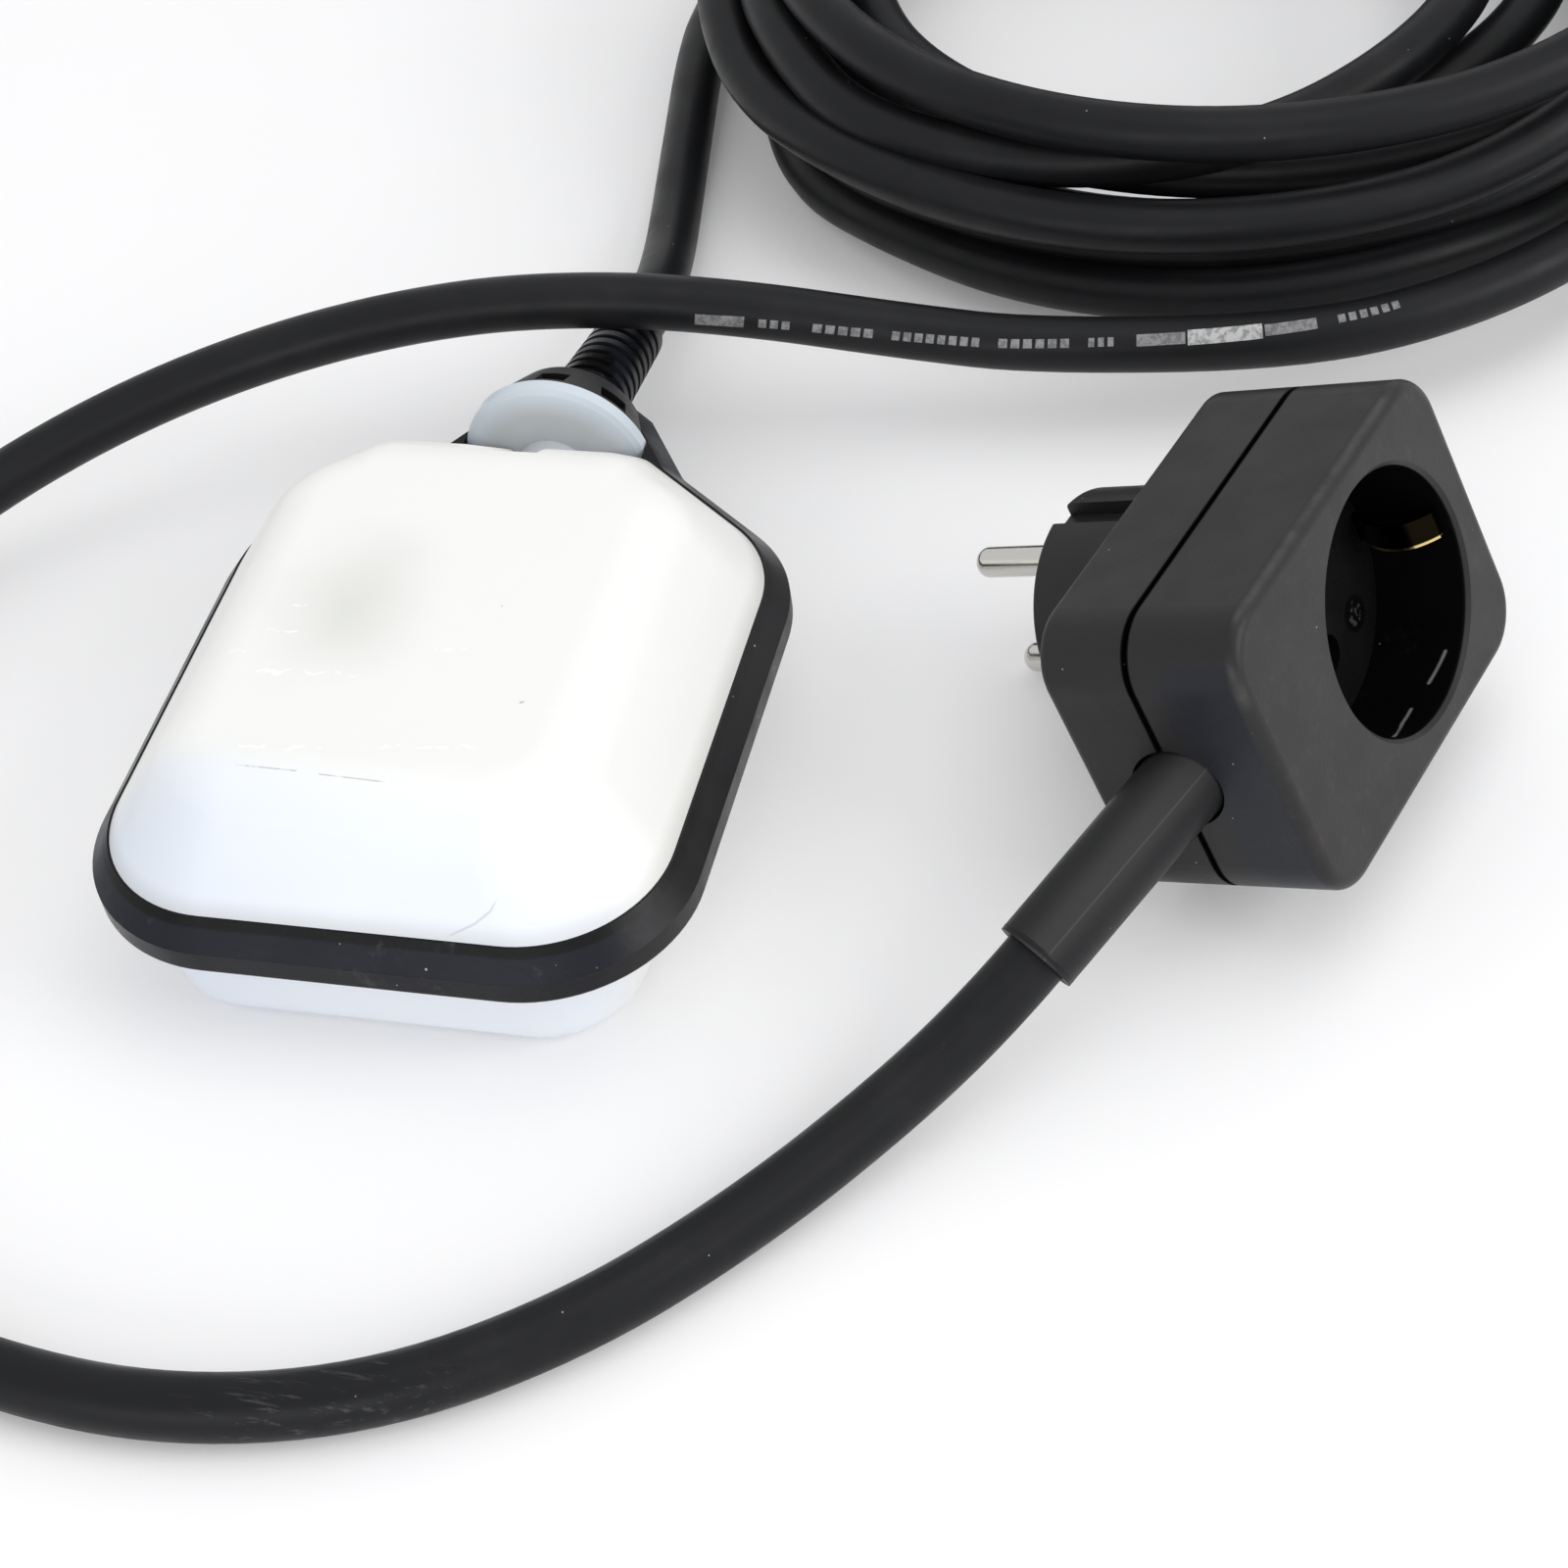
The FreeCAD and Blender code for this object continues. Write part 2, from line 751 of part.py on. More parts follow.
def make_switch_plunger():
    x = pivot_x + plunger_arm
    y = plunger_centre(lever_rest)
    tip = Part.makeSphere(plunger_r, Vector(x, y, parting))
    return tip.fuse(rod(x, y, parting, Vector(0, 1, 0), plunger_r, plunger_shank)).removeSplitter()


def make_switch_terminals():
    back = switch_front() + switch_depth
    tabs = []
    for i in range(3):
        x = tab_first_x + i * tab_pitch
        tab = box(x - tab_width / 2, back, parting - tab_thick / 2,
                  x + tab_width / 2, back + tab_length, parting + tab_thick / 2)
        tabs.append(tab)
    return Part.makeCompound(tabs)


def make_conductor(i):
    """One insulated core from its terminal to the end of the cable's jacket."""
    start_x = tab_first_x + i * tab_pitch
    start_y = switch_front() + switch_depth + tab_length
    end_x = (i - 1) * wire_circle
    route = [
        Vector(start_x, start_y, parting),
        Vector(start_x, start_y + 4.5, parting),
        Vector(end_x, capsule_far - 3.2, parting),
        Vector(end_x, jacket_end, parting),
    ]
    if i == 1:
        route[0].y += 0.1
        route[1].x += 0.8
    solid, path, radii = tube(route, wire_d / 2)
    return solid


def plug_frame():
    heading = math.radians(plug_heading)
    tilt = math.radians(plug_tilt)
    along = Vector(math.cos(heading), math.sin(heading), 0)
    level = Vector(math.sin(heading), -math.cos(heading), 0)
    out = level * math.cos(tilt) + Vector(0, 0, 1) * math.sin(tilt)
    across = along.cross(out)
    return out, across, along


def placed(shape):
    """Carry a piece from the plug's own frame to its place on the floor."""
    out, across, along = plug_frame()
    matrix = FreeCAD.Matrix(
        out.x, across.x, along.x, plug_at.x,
        out.y, across.y, along.y, plug_at.y,
        out.z, across.z, along.z, plug_at.z,
        0, 0, 0, 1)
    moved = shape.copy()
    moved.Placement = Placement(matrix)
    return moved


def plug_point(x, y, z):
    out, across, along = plug_frame()
    return plug_at + out * x + across * y + along * z


def plug_slab(x0, x1, inset):
    """Block with the plug's rounded outline between two depths."""
    w = plug_half_w - inset
    low = plug_low + inset
    high = plug_high - inset
    corners = [Vector(x0, -w, low), Vector(x0, w, low), Vector(x0, w, high), Vector(x0, -w, high)]
    wire = rounded_wire(corners, [plug_corner - inset] * 4)
    return Part.Face(wire).extrude(Vector(x1 - x0, 0, 0))


def sleeve_axis():
    """Direction of the cable sleeve out of the plug, in the plug's own frame."""
    down = -math.sqrt(1.0 - sleeve_back ** 2 - sleeve_down ** 2)
    return Vector(sleeve_back, sleeve_down, down)


def sleeve_root():
    return Vector(-front_depth - seam_width / 2, exit_y, plug_low)


def cable_inside():
    """Length of cable inside the plug's housing."""
    return sleeve_in + clamp_reach + clamp_past


def exit_hole():
    """Hole of the sleeve with a narrower one for the cable behind it."""
    axis = sleeve_axis()
    start = sleeve_root() - axis * (sleeve_in + sleeve_hole_play)
    wide = Part.makeCylinder(sleeve_hole_r, sleeve_in + 9.0, start, axis)
    start = sleeve_root() - axis * (cable_inside() + sleeve_hole_play)
    narrow = Part.makeCylinder(cable_d / 2 + clamp_play, cable_inside(), start, axis)
    return wide.fuse(narrow)


def make_plug_front():
    """Front half of the plug's housing with the round socket recess."""
    body = plug_slab(-front_depth, 0.0, 0.0)
    rim = [e for e in body.Edges if e.BoundBox.XMin > -0.01]
    body = body.makeFillet(front_round, rim)
    body = body.cut(rod(1.0, 0, 0, Vector(-1, 0, 0), recess_r, front_depth + 2.0))
    lip = Part.makeCone(recess_r, recess_r + 0.6, 0.6, Vector(-0.6, 0, 0), Vector(1, 0, 0))
    body = body.cut(lip)
    back = -front_depth
    half = clamp_width / 2
    chamber = box(back - 1.0, -half, plug_low + plug_wall, back + sleeve_in, half, -recess_r - 2.0)
    body = body.cut(chamber)
    return body.cut(exit_hole())


def make_plug_back():
    """Back half of the housing with the round boss that carries the pins."""
    front = -front_depth - seam_width
    back = front - back_depth
    body = plug_slab(front, back, 0.0)
    rim = [e for e in body.Edges if e.BoundBox.XMax < back + 0.01]
    body = body.makeFillet(back_round, rim)
    lip = plug_slab(-front_depth, front - 1.0, seam_inset)
    body = body.fuse(lip)
    boss = rod(back + 1.0, 0, 0, Vector(-1, 0, 0), boss_r, boss_length + 1.0)
    boss_edges = [e for e in boss.Edges if e.BoundBox.XMax < back - boss_length + 0.01]
    boss = boss.makeFillet(boss_round, boss_edges)
    body = body.fuse(boss)
    end = back - boss_length
    for side in (-1, 1):
        y0 = side * (boss_r - guide_depth)
        y1 = side * (boss_r + 2.0)
        groove = box(end - 1.0, min(y0, y1), -guide_width / 2, back, max(y0, y1), guide_width / 2)
        z0 = side * (boss_r - strap_thick)
        z1 = side * (boss_r + 2.0)
        channel = box(end - 1.0, -earth_groove / 2, min(z0, z1), back - 1.0, earth_groove / 2, max(z0, z1))
        body = body.cut(groove).cut(channel)
    chamber = plug_slab(-front_depth + 1.0, back + plug_wall, plug_wall + 0.2)
    body = body.cut(chamber)
    for y in (-insert_post_y, insert_post_y):
        for z in (-insert_post_z, insert_post_z):
            depth = -front_depth - insert_flange - back
            body = body.fuse(rod(back + 1.0, y, z, Vector(1, 0, 0), insert_post_r, depth - 1.0))
    for side in (-1, 1):
        body = body.cut(rod(0, side * pin_pitch / 2, 0, Vector(-1, 0, 0), pin_root_r, 60.0))
    body = body.cut(exit_hole())
    return body.removeSplitter()


def make_socket_insert():
    """Bottom of the socket: a plug of the recess on a flange, with its contact holes."""
    insert = rod(-front_depth, 0, 0, Vector(1, 0, 0), recess_r - insert_play, front_depth - recess_depth)
    flange = rod(-front_depth, 0, 0, Vector(-1, 0, 0), insert_flange_r, insert_flange)
    insert = insert.fuse(flange)
    for side in (-1, 1):
        insert = insert.cut(rod(0, side * pin_pitch / 2, 0, Vector(-1, 0, 0), contact_hole_r, 40.0))
        z = side * (recess_r - 1.9)
        slot = box(-front_depth - 4.0, -clip_width / 2 - 0.2, min(z, z + side * 2.1),
                   0.0, clip_width / 2 + 0.2, max(z, z + side * 2.1))
        insert = insert.cut(slot)
        spot = insert_screw_at(side)
        insert = insert.cut(Part.makeCone(insert_screw_head_r + 0.1, 1.3, 1.6,
                                          Vector(-recess_depth, spot.y, spot.z), Vector(-1, 0, 0)))
        insert = insert.cut(rod(0, spot.y, spot.z, Vector(-1, 0, 0), 1.3, 40.0))
    return insert.removeSplitter()


def insert_screw_at(side):
    angle = math.radians(45.0)
    y = -side * insert_screw_radius * math.cos(angle)
    return Vector(0, y, side * insert_screw_radius * math.sin(angle))


def make_insert_screws():
    screws = []
    for side in (-1, 1):
        spot = insert_screw_at(side)
        head = Part.makeCone(insert_screw_head_r, 1.2, 1.5, Vector(-recess_depth - 0.05, spot.y, spot.z),
                             Vector(-1, 0, 0))
        shank = rod(-recess_depth - 1.0, spot.y, spot.z, Vector(-1, 0, 0), 1.2, 6.5)
        slot = box(-recess_depth - 0.7, spot.y - 3.0, spot.z - 0.3, 0.0, spot.y + 3.0, spot.z + 0.3)
        screws.append(head.fuse(shank).cut(slot).removeSplitter())
    return Part.makeCompound(screws)


def make_pin(side):
    """Round contact pin with a rounded tip and a collar inside the housing."""
    y = side * pin_pitch / 2
    end = -front_depth - seam_width - back_depth - boss_length
    inner = -front_depth - seam_width - back_depth + plug_wall
    pin = rod(end, y, 0, Vector(-1, 0, 0), pin_r, pin_length)
    tip = [e for e in pin.Edges if e.BoundBox.XMax < end - pin_length + 0.01]
    pin = pin.makeFillet(pin_r - 0.3, tip)
    root = rod(end, y, 0, Vector(1, 0, 0), pin_root_r, inner - end)
    collar = rod(inner, y, 0, Vector(1, 0, 0), pin_collar_r, 1.6)
    return pin.fuse(root).fuse(collar).removeSplitter()


def make_contact_sleeve(side):
    """Split sleeve behind the socket that takes a pin."""
    y = side * pin_pitch / 2
    start = -front_depth - insert_flange
    sleeve = rod(start, y, 0, Vector(-1, 0, 0), contact_sleeve_r, contact_sleeve)
    sleeve = sleeve.cut(rod(start + 1.0, y, 0, Vector(-1, 0, 0), pin_r - 0.1, contact_sleeve + 2.0))
    slit = box(start - contact_sleeve + 2.0, y - 0.3, -6.0, start + 1.0, y + 0.3, 6.0)
    return sleeve.cut(slit)


def make_earth_clip(side):
    """Bowed spring that stands in from the wall of the socket."""
    root = recess_r - 1.0
    back = -clip_front - clip_length
    tail = -front_depth - insert_flange

    def at(x, z):
        return Vector(x, -clip_width / 2, z)

    bow_out = Part.BSplineCurve()
    bow_out.interpolate([at(-clip_front, root), at(-clip_apex_at, clip_apex + clip_thick), at(back, root)])
    bow_in = Part.BSplineCurve()
    bow_in.interpolate([
        at(back, root - clip_thick), at(-clip_apex_at, clip_apex), at(-clip_front, root - clip_thick)])
    ends = [at(back, root), at(tail, root), at(tail, root - clip_thick), at(back, root - clip_thick)]
    tip = Part.LineSegment(at(-clip_front, root - clip_thick), at(-clip_front, root))
    edges = [bow_out.toShape()] + Part.makePolygon(ends).Edges + [bow_in.toShape(), tip.toShape()]
    clip = Part.Face(Part.Wire(edges)).extrude(Vector(0, clip_width, 0))
    if side < 0:
        clip = clip.mirror(Vector(0, 0, 0), Vector(0, 0, 1))
    return clip


def make_earth_strap():
    """Flat strap behind the socket that joins the two earth clips."""
    reach = recess_r - 1.0
    front = -front_depth - insert_flange
    strap = box(front - strap_thick, -clip_width / 2, -reach, front, clip_width / 2, reach)
    return strap


def make_earth_side_strips():
    """Strips let into the two flat sides of the boss."""
    back = -front_depth - seam_width - back_depth
    end = back - boss_length
    strips = []
    for side in (-1, 1):
        z0 = side * (boss_r - strap_thick)
        z1 = side * boss_r
        strip = box(end + 2.5, -earth_strip / 2, min(z0, z1), back - 1.0, earth_strip / 2, max(z0, z1))
        strips.append(strip)
    return Part.makeCompound(strips)


def make_cable_sleeve():
    """Straight rubber sleeve over the cable where it leaves the plug."""
    axis = sleeve_axis()
    start = sleeve_root() - axis * sleeve_in
    sleeve = Part.makeCylinder(sleeve_r, sleeve_in + sleeve_out, start, axis)
    tip = start + axis * (sleeve_in + sleeve_out)
    bore_r = cable_d / 2 + sleeve_bore_play
    bore = Part.makeCylinder(bore_r, sleeve_in + sleeve_out + 2.0, start - axis, axis)
    mouth = Part.makeCone(bore_r, sleeve_r - 0.5, sleeve_lip, tip - axis * sleeve_lip, axis)
    return sleeve.cut(bore).cut(mouth)


def make_plug_cable_end():
    """Last stretch of the cable, inside the sleeve and its clamp."""
    axis = sleeve_axis()
    start = sleeve_root() - axis * cable_inside()
    return Part.makeCylinder(cable_d / 2, cable_inside() + sleeve_out, start, axis)


def make_cable_clamp():
    """Bar that grips the cable inside the housing."""
    axis = sleeve_axis()
    at = sleeve_root() - axis * (sleeve_in + clamp_reach)
    low_x = at.x - cable_d / 2 - 2.0
    bar = box(low_x, -clamp_width / 2, at.z - 1.0, at.x + 1.0, clamp_width / 2, at.z + 2.0)
    bar = bar.cut(Part.makeCylinder(cable_d / 2 + 0.05, 20.0, at - axis * 5.0, axis))
    return bar


def sleeve_end():
    """End of the sleeve and the cable's direction there, in the part's frame."""
    out, across, along = plug_frame()
    axis = sleeve_axis()
    tip = sleeve_root() + axis * sleeve_out
    way = out * axis.x + across * axis.y + along * axis.z
    return plug_point(tip.x, tip.y, tip.z), way


def make_cable_coil():
    """Outer shape of the coiled cable, a ring of loose turns."""
    profile = [
        (0.0, coil_inner + 8.0),
        (coil_height - coil_waist, coil_inner),
        (coil_height - coil_belly, coil_inner),
        (coil_height - 4.0, coil_crest - 12.0),
        (coil_height, coil_crest - 6.0),
        (coil_height, coil_crest + 4.0),
        (coil_height - 9.0, coil_outer),
        (coil_height - coil_waist, coil_outer),
        (0.0, coil_outer - 10.0),
    ]
    return turned(profile, Vector(coil_x, coil_y, 0), Vector(0, 0, 1), Vector(1, 0, 0))


def make_cable_lead():
    route = [relief_tip(), relief_tip() + droop_axis() * 16.0] + [Vector(*p) for p in lead_route]
    solid, path, radii = tube(route, cable_d / 2)
    report_cable("cable_lead", solid, path, radii)
    return solid


def make_cable_run():
    end, way = sleeve_end()
    route = [end, end + way * 10.0] + [Vector(*p) for p in run_route]
    solid, path, radii = tube(route, cable_d / 2)
    report_cable("cable_run", solid, path, radii)
    return solid


def report_cable(name, solid, path, radii):
    section = math.pi * cable_d ** 2 / 4
    print(name, "length", round(path.Length, 1), "volume over section times length",
          round(solid.Volume / (section * path.Length), 4))
    print("  arc radii", [round(r) for r in radii])


def make_inner_cable():
    solid, path, radii = tube(inner_cable_route(), cable_d / 2)
    report_cable("inner_cable", solid, path, radii)
    return solid


def pieces():
    """Every node of the part with its finished solid."""
    yield "upper_shell", make_upper_shell()
    yield "lower_shell", make_lower_shell()
    yield "rim_seal", make_rim_seal()
    yield "gland_disc", make_gland_disc()
    yield "gland_collar", make_gland_collar()
    yield "bend_relief", make_bend_relief()
    yield "cable_grommet", make_cable_grommet()
    yield "inner_cable", make_inner_cable()
    yield "capsule_base", make_capsule_base()
    yield "capsule_cover", make_capsule_cover()
    yield "capsule_screws", make_capsule_screws()
    yield "ball_track", make_ball_track()
    yield "steel_ball", make_steel_ball()
    yield "microswitch", make_microswitch()
    yield "lever_pin", make_lever_pin()
    yield "switch_lever", make_switch_lever()
    yield "switch_plunger", make_switch_plunger()
    yield "switch_terminals", make_switch_terminals()
    for i, colour in enumerate(("brown", "blue", "black")):
        yield "conductor_" + colour, make_conductor(i)
    yield "plug_front", placed(make_plug_front())
    yield "plug_back", placed(make_plug_back())
    yield "socket_insert", placed(make_socket_insert())
    yield "insert_screws", placed(make_insert_screws())
    for side, name in ((-1, "upper"), (1, "lower")):
        yield "pin_" + name, placed(make_pin(side))
        yield "contact_sleeve_" + name, placed(make_contact_sleeve(side))
    for side, name in ((1, "left"), (-1, "right")):
        yield "earth_clip_" + name, placed(make_earth_clip(side))
    yield "earth_strap", placed(make_earth_strap())
    yield "earth_side_strips", placed(make_earth_side_strips())
    yield "plug_sleeve", placed(make_cable_sleeve())
    yield "plug_cable_end", placed(make_plug_cable_end())
    yield "cable_clamp", placed(make_cable_clamp())
    yield "cable_coil", make_cable_coil()
    yield "cable_lead", make_cable_lead()
    yield "cable_run", make_cable_run()


os.makedirs("parts", exist_ok=True)
for name, shape in pieces():
    print(name, "solids", len(shape.Solids), "valid", shape.isValid(), "volume", round(shape.Volume, 1))
    shape.exportStep("parts/" + name + ".step")
print("ball rest", round(ball_rest_y(), 3), "travel", round(ball_travel(), 3))
print("plunger rest", round(plunger_centre(lever_rest), 3), "travel", round(plunger_travel(), 3))
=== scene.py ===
import json
import math

import bpy
import numpy as np
from mathutils import Matrix, Vector


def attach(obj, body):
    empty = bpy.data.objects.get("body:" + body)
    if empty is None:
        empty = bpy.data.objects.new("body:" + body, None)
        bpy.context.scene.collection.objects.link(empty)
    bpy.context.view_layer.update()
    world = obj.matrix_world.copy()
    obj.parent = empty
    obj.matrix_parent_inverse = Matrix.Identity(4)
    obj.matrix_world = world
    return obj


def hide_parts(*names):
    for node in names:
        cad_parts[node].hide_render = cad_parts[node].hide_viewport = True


# Looks of the cable float switch: camera, cable, materials, floor and light.
# The part's frame: the float lies at the origin and its cable leaves along +Y.
# Sizes and places are millimetres, and MM turns them into Blender's metres.

MM = 0.001
scene = bpy.context.scene
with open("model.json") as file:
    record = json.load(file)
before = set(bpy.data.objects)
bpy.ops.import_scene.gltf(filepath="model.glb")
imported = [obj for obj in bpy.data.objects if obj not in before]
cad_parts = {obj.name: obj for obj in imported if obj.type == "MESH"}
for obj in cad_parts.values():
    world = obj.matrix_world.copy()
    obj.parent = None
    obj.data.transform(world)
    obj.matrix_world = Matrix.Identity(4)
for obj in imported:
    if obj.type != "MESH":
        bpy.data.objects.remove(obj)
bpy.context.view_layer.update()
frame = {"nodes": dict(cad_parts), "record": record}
nodes = frame["nodes"]

# camera, solved from the float, the plug and the cable in the photograph
CAMERA_AT = Vector((169.76, -320.12, 350.05))
CAMERA_RIGHT = Vector((0.9647, 0.2313, -0.1259))
CAMERA_DOWN = Vector((0.0824, -0.7190, -0.6901))
CAMERA_LENS = 72.58

# cable
CABLE_D = 9.4
FLOOR_Z = CABLE_D / 2
GLAND_END = Vector((0.0, 60.8, 21.5))
RELIEF_LENGTH = 31.0
RELIEF_DROOP = math.radians(12.0)
LEAD_ROUTE = [
    (-3.6, 126.0, 6.6),
    (-7.5, 146.0, 4.7),
    (-11.0, 167.0, 4.7),
    (-14.5, 188.0, 4.7),
]
# each turn of the coil where it passes the front: middle x, middle y, radius, height
COIL_TURNS = [
    (88.0, 206.0, 104.0, 4.7),
    (87.6, 200.9, 85.4, 9.0),
    (86.2, 214.0, 92.0, 14.0),
    (86.0, 205.0, 76.0, 13.5),
    (82.9, 207.6, 65.6, 22.0),
    (85.6, 208.9, 94.6, 24.0),
    (93.0, 230.0, 98.0, 23.0),
    (68.8, 193.7, 68.0, 29.0),
    (92.5, 213.6, 92.1, 38.0),
    (87.1, 187.9, 94.8, 15.0),
]
TURN_POINTS = 20
# a turn passes into the next between these two angles, behind the view
PASS_START = math.radians(140.0)
PASS_END = math.radians(30.0)
COIL_LEAVES = math.radians(-84.0)
# settling of the coil: rounds, wanted distance between turns, strength of a push,
# share of smoothing, places tested per spline point, and how many points apart
# along the cable two places are before they count as two turns
SETTLE_ROUNDS = 150
SETTLE_GAP = 9.7
SETTLE_GAIN = 1.6
SETTLE_BLEND = 0.15
SAMPLES = 6
FAR_ALONG = 6
# nothing with a smaller y than this moves, and all of the coil yields 40 mm further on
STAYS_Y = 140.0
YIELDS_OVER = 40.0
RUN_ROUTE = [
    (72.0, 90.5, 17.0),
    (50.0, 88.0, 21.0),
    (24.0, 84.0, 27.5),
    (0.0, 80.5, 31.0),
    (-26.0, 77.5, 30.0),
    (-55.0, 70.0, 26.0),
    (-82.0, 54.5, 22.0),
    (-105.0, 33.0, 17.0),
    (-120.0, 8.0, 12.0),
    (-125.5, -20.0, 7.0),
    (-121.0, -50.0, 4.7),
    (-109.0, -76.0, 4.7),
    (-90.0, -98.5, 4.7),
    (-64.0, -114.5, 4.7),
    (-36.0, -122.5, 4.7),
    (-8.0, -124.8, 4.7),
    (20.0, -118.5, 4.7),
    (44.0, -103.0, 4.7),
    (63.0, -82.5, 4.7),
    (79.0, -63.0, 7.6),
]
SLEEVE_TIP = Vector((95.8, -42.3, 17.0))
SLEEVE_WAY = Vector((-0.5515, -0.7313, -0.4020))
SLEEVE_SEEN_FROM = Vector((0.35, -0.75, 0.55))
INTO_SLEEVE = 10.0
RELIEF_TAIL = 16.0
SEAM_OFFSET = 0.6
LIP_R = 5.45
LIP_THICK = 0.75
LIP_AROUND = 48
LIP_ACROSS = 12
PLUG_AT = Vector((139.8, 12.8, 37.0))
PLUG_OUT = Vector((0.8900, -0.2755, 0.3633))
PLUG_ACROSS = Vector((0.3470, -0.1074, -0.9317))
PLUG_ALONG = Vector((0.2957, 0.9553, 0.0))
# depth of the housing's parting gap behind its front, and the recess in the front
GAP_DEPTH = 17.95
RECESS_R = 19.7
RECESS_FLOOR = -17.6

# pale glints on the wall of the recess, and the screw's dimple on its bottom
GLINTS = [
    ((145.7, 21.0, 20.0), (143.8, 16.5, 17.7)),
    ((141.7, 11.6, 16.9), (140.8, 8.1, 17.5)),
    ((140.8, 8.1, 17.5), (140.1, 2.6, 20.1)),
]
DIMPLE_ACROSS = 9.4
DIMPLE_ALONG = 9.4

# grey marks printed on the cable: first millimetre, last millimetre, number of blocks
PRINT_MARKS = [
    (0.0, 8.2, 1),
    (10.6, 16.4, 3),
    (19.6, 30.4, 5),
    (33.0, 48.4, 8),
    (51.0, 63.4, 6),
    (66.0, 70.8, 3),
    (74.0, 82.0, 1),
    (95.0, 103.5, 1),
    (107.0, 118.0, 6),
]
PRINT_LABEL = (82.4, 94.6)
PRINT_FROM_X = 14.1
PRINT_FROM_Y = 65.0
PRINT_FACES = Vector((0.24, -0.76, 0.60))
PRINT_TURN = math.radians(31.0)
PRINT_TWIST = math.radians(-0.54)
PRINT_LIFT = 0.06
PRINT_STEP = 0.8
PRINT_ROWS = 4
BLOCK_GAP = 0.6
RUBBED_AT = Vector((14.0, -120.0, 6.0))
BAR_HALF = 1.0
BLOCK_HALF = 0.75
LABEL_HALF = 1.3

# light scuffs on the top of the float: x, y, then x, y of the other end
TOP_SCUFFS = [
    (-21.3, -10.2, -18.3, -9.9),
    (-22.3, -16.0, -17.8, -15.6),
    (-26.7, -20.7, -24.4, -20.4),
    (-20.6, -24.6, -15.4, -24.0),
    (-13.4, -23.9, -5.2, -23.5),
    (4.7, -17.0, 9.1, -16.5),
    (-18.8, -39.6, -5.9, -38.2),
    (0.4, -37.5, 5.4, -36.9),
    (8.2, -36.8, 16.6, -35.7),
]
TOP_Z = 43.0
SCRATCH = [(-17.4, -42.6, 42.5), (-8.2, -42.7, 42.5), (-4.6, -42.9, 42.4), (5.3, -43.2, 42.3)]
HAIRLINE = [(23.2, -53.0, 32.0), (21.9, -54.3, 29.8), (19.6, -55.3, 28.0), (15.9, -56.3, 26.2)]
SPECKS = [(-27.8, 19.0, 43.0), (20.5, -26.4, 43.0), (29.5, -34.8, 41.0), (43.0, -25.4, 26.3)]
BLOTCH_AT = Vector((-11.5, -9.5, 43.0))
BLOTCH_WIDE = 12.0
BLOTCH_LONG = 17.0
ORIGIN = Vector((0.0, 0.0, 0.0))
UP = Vector((0.0, 0.0, 1.0))
RIGHT = Vector((1.0, 0.0, 0.0))
NEARER = Vector((-0.08, -1.0, 0.0))
SCUFF_WAVER = 1.6

# floor: half its side in metres, and how far it lies below the part
FLOOR_HALF = 3.0
FLOOR_BELOW = 0.1

# heights on the seal: top of its band, and its lower edge
SEAL_TOP = 24.2
SEAL_FOOT = 21.2


def place_camera():
    data = bpy.data.cameras.new("camera")
    data.sensor_width = 36.0
    data.lens = CAMERA_LENS
    data.clip_start = 0.01
    data.clip_end = 20.0
    camera = bpy.data.objects.new("camera", data)
    forward = CAMERA_DOWN.cross(CAMERA_RIGHT) * -1.0
    turn = Matrix((CAMERA_RIGHT, -CAMERA_DOWN, -forward)).transposed()
    camera.matrix_world = Matrix.Translation(CAMERA_AT * MM) @ turn.to_4x4()
    scene.collection.objects.link(camera)
    scene.camera = camera


def lead_points():
    droop = Vector((0.0, math.cos(RELIEF_DROOP), -math.sin(RELIEF_DROOP)))
    tip = GLAND_END + droop * RELIEF_LENGTH
    return [tip, tip + droop * RELIEF_TAIL] + [Vector(p) for p in LEAD_ROUTE]


def turn_point(turn, angle):
    x, y, radius, z = turn
    return Vector((x + radius * math.cos(angle), y + radius * math.sin(angle), z))


def coil_points():
    """Turns laid clockwise; each one passes into the next behind the coil."""
    points = []
    step = 2 * math.pi / TURN_POINTS
    angle = math.pi
    end = COIL_LEAVES - 2 * math.pi * (len(COIL_TURNS) - 2)
    while angle > end:
        number = int((math.pi - angle) // (2 * math.pi))
        within = angle + 2 * math.pi * number
        share = min(max((PASS_START - within) / (PASS_START - PASS_END), 0.0), 1.0)
        share = share * share * (3.0 - 2.0 * share)
        before = turn_point(COIL_TURNS[number], within)
        after = turn_point(COIL_TURNS[number + 1], within)
        points.append(before.lerp(after, share))
        angle -= step
    return points


def sample_weights(count):
    """Shares of three neighbouring spline points in each place along the spline."""
    rows = np.zeros(((count - 2) * SAMPLES, count))
    for i in range(1, count - 1):
        for j in range(SAMPLES):
            t = (j + 0.5) / SAMPLES
            shares = (0.5 * (1 - t) ** 2, 0.5 + t - t * t, 0.5 * t * t)
            rows[(i - 1) * SAMPLES + j, i - 1:i + 2] = shares
    return rows


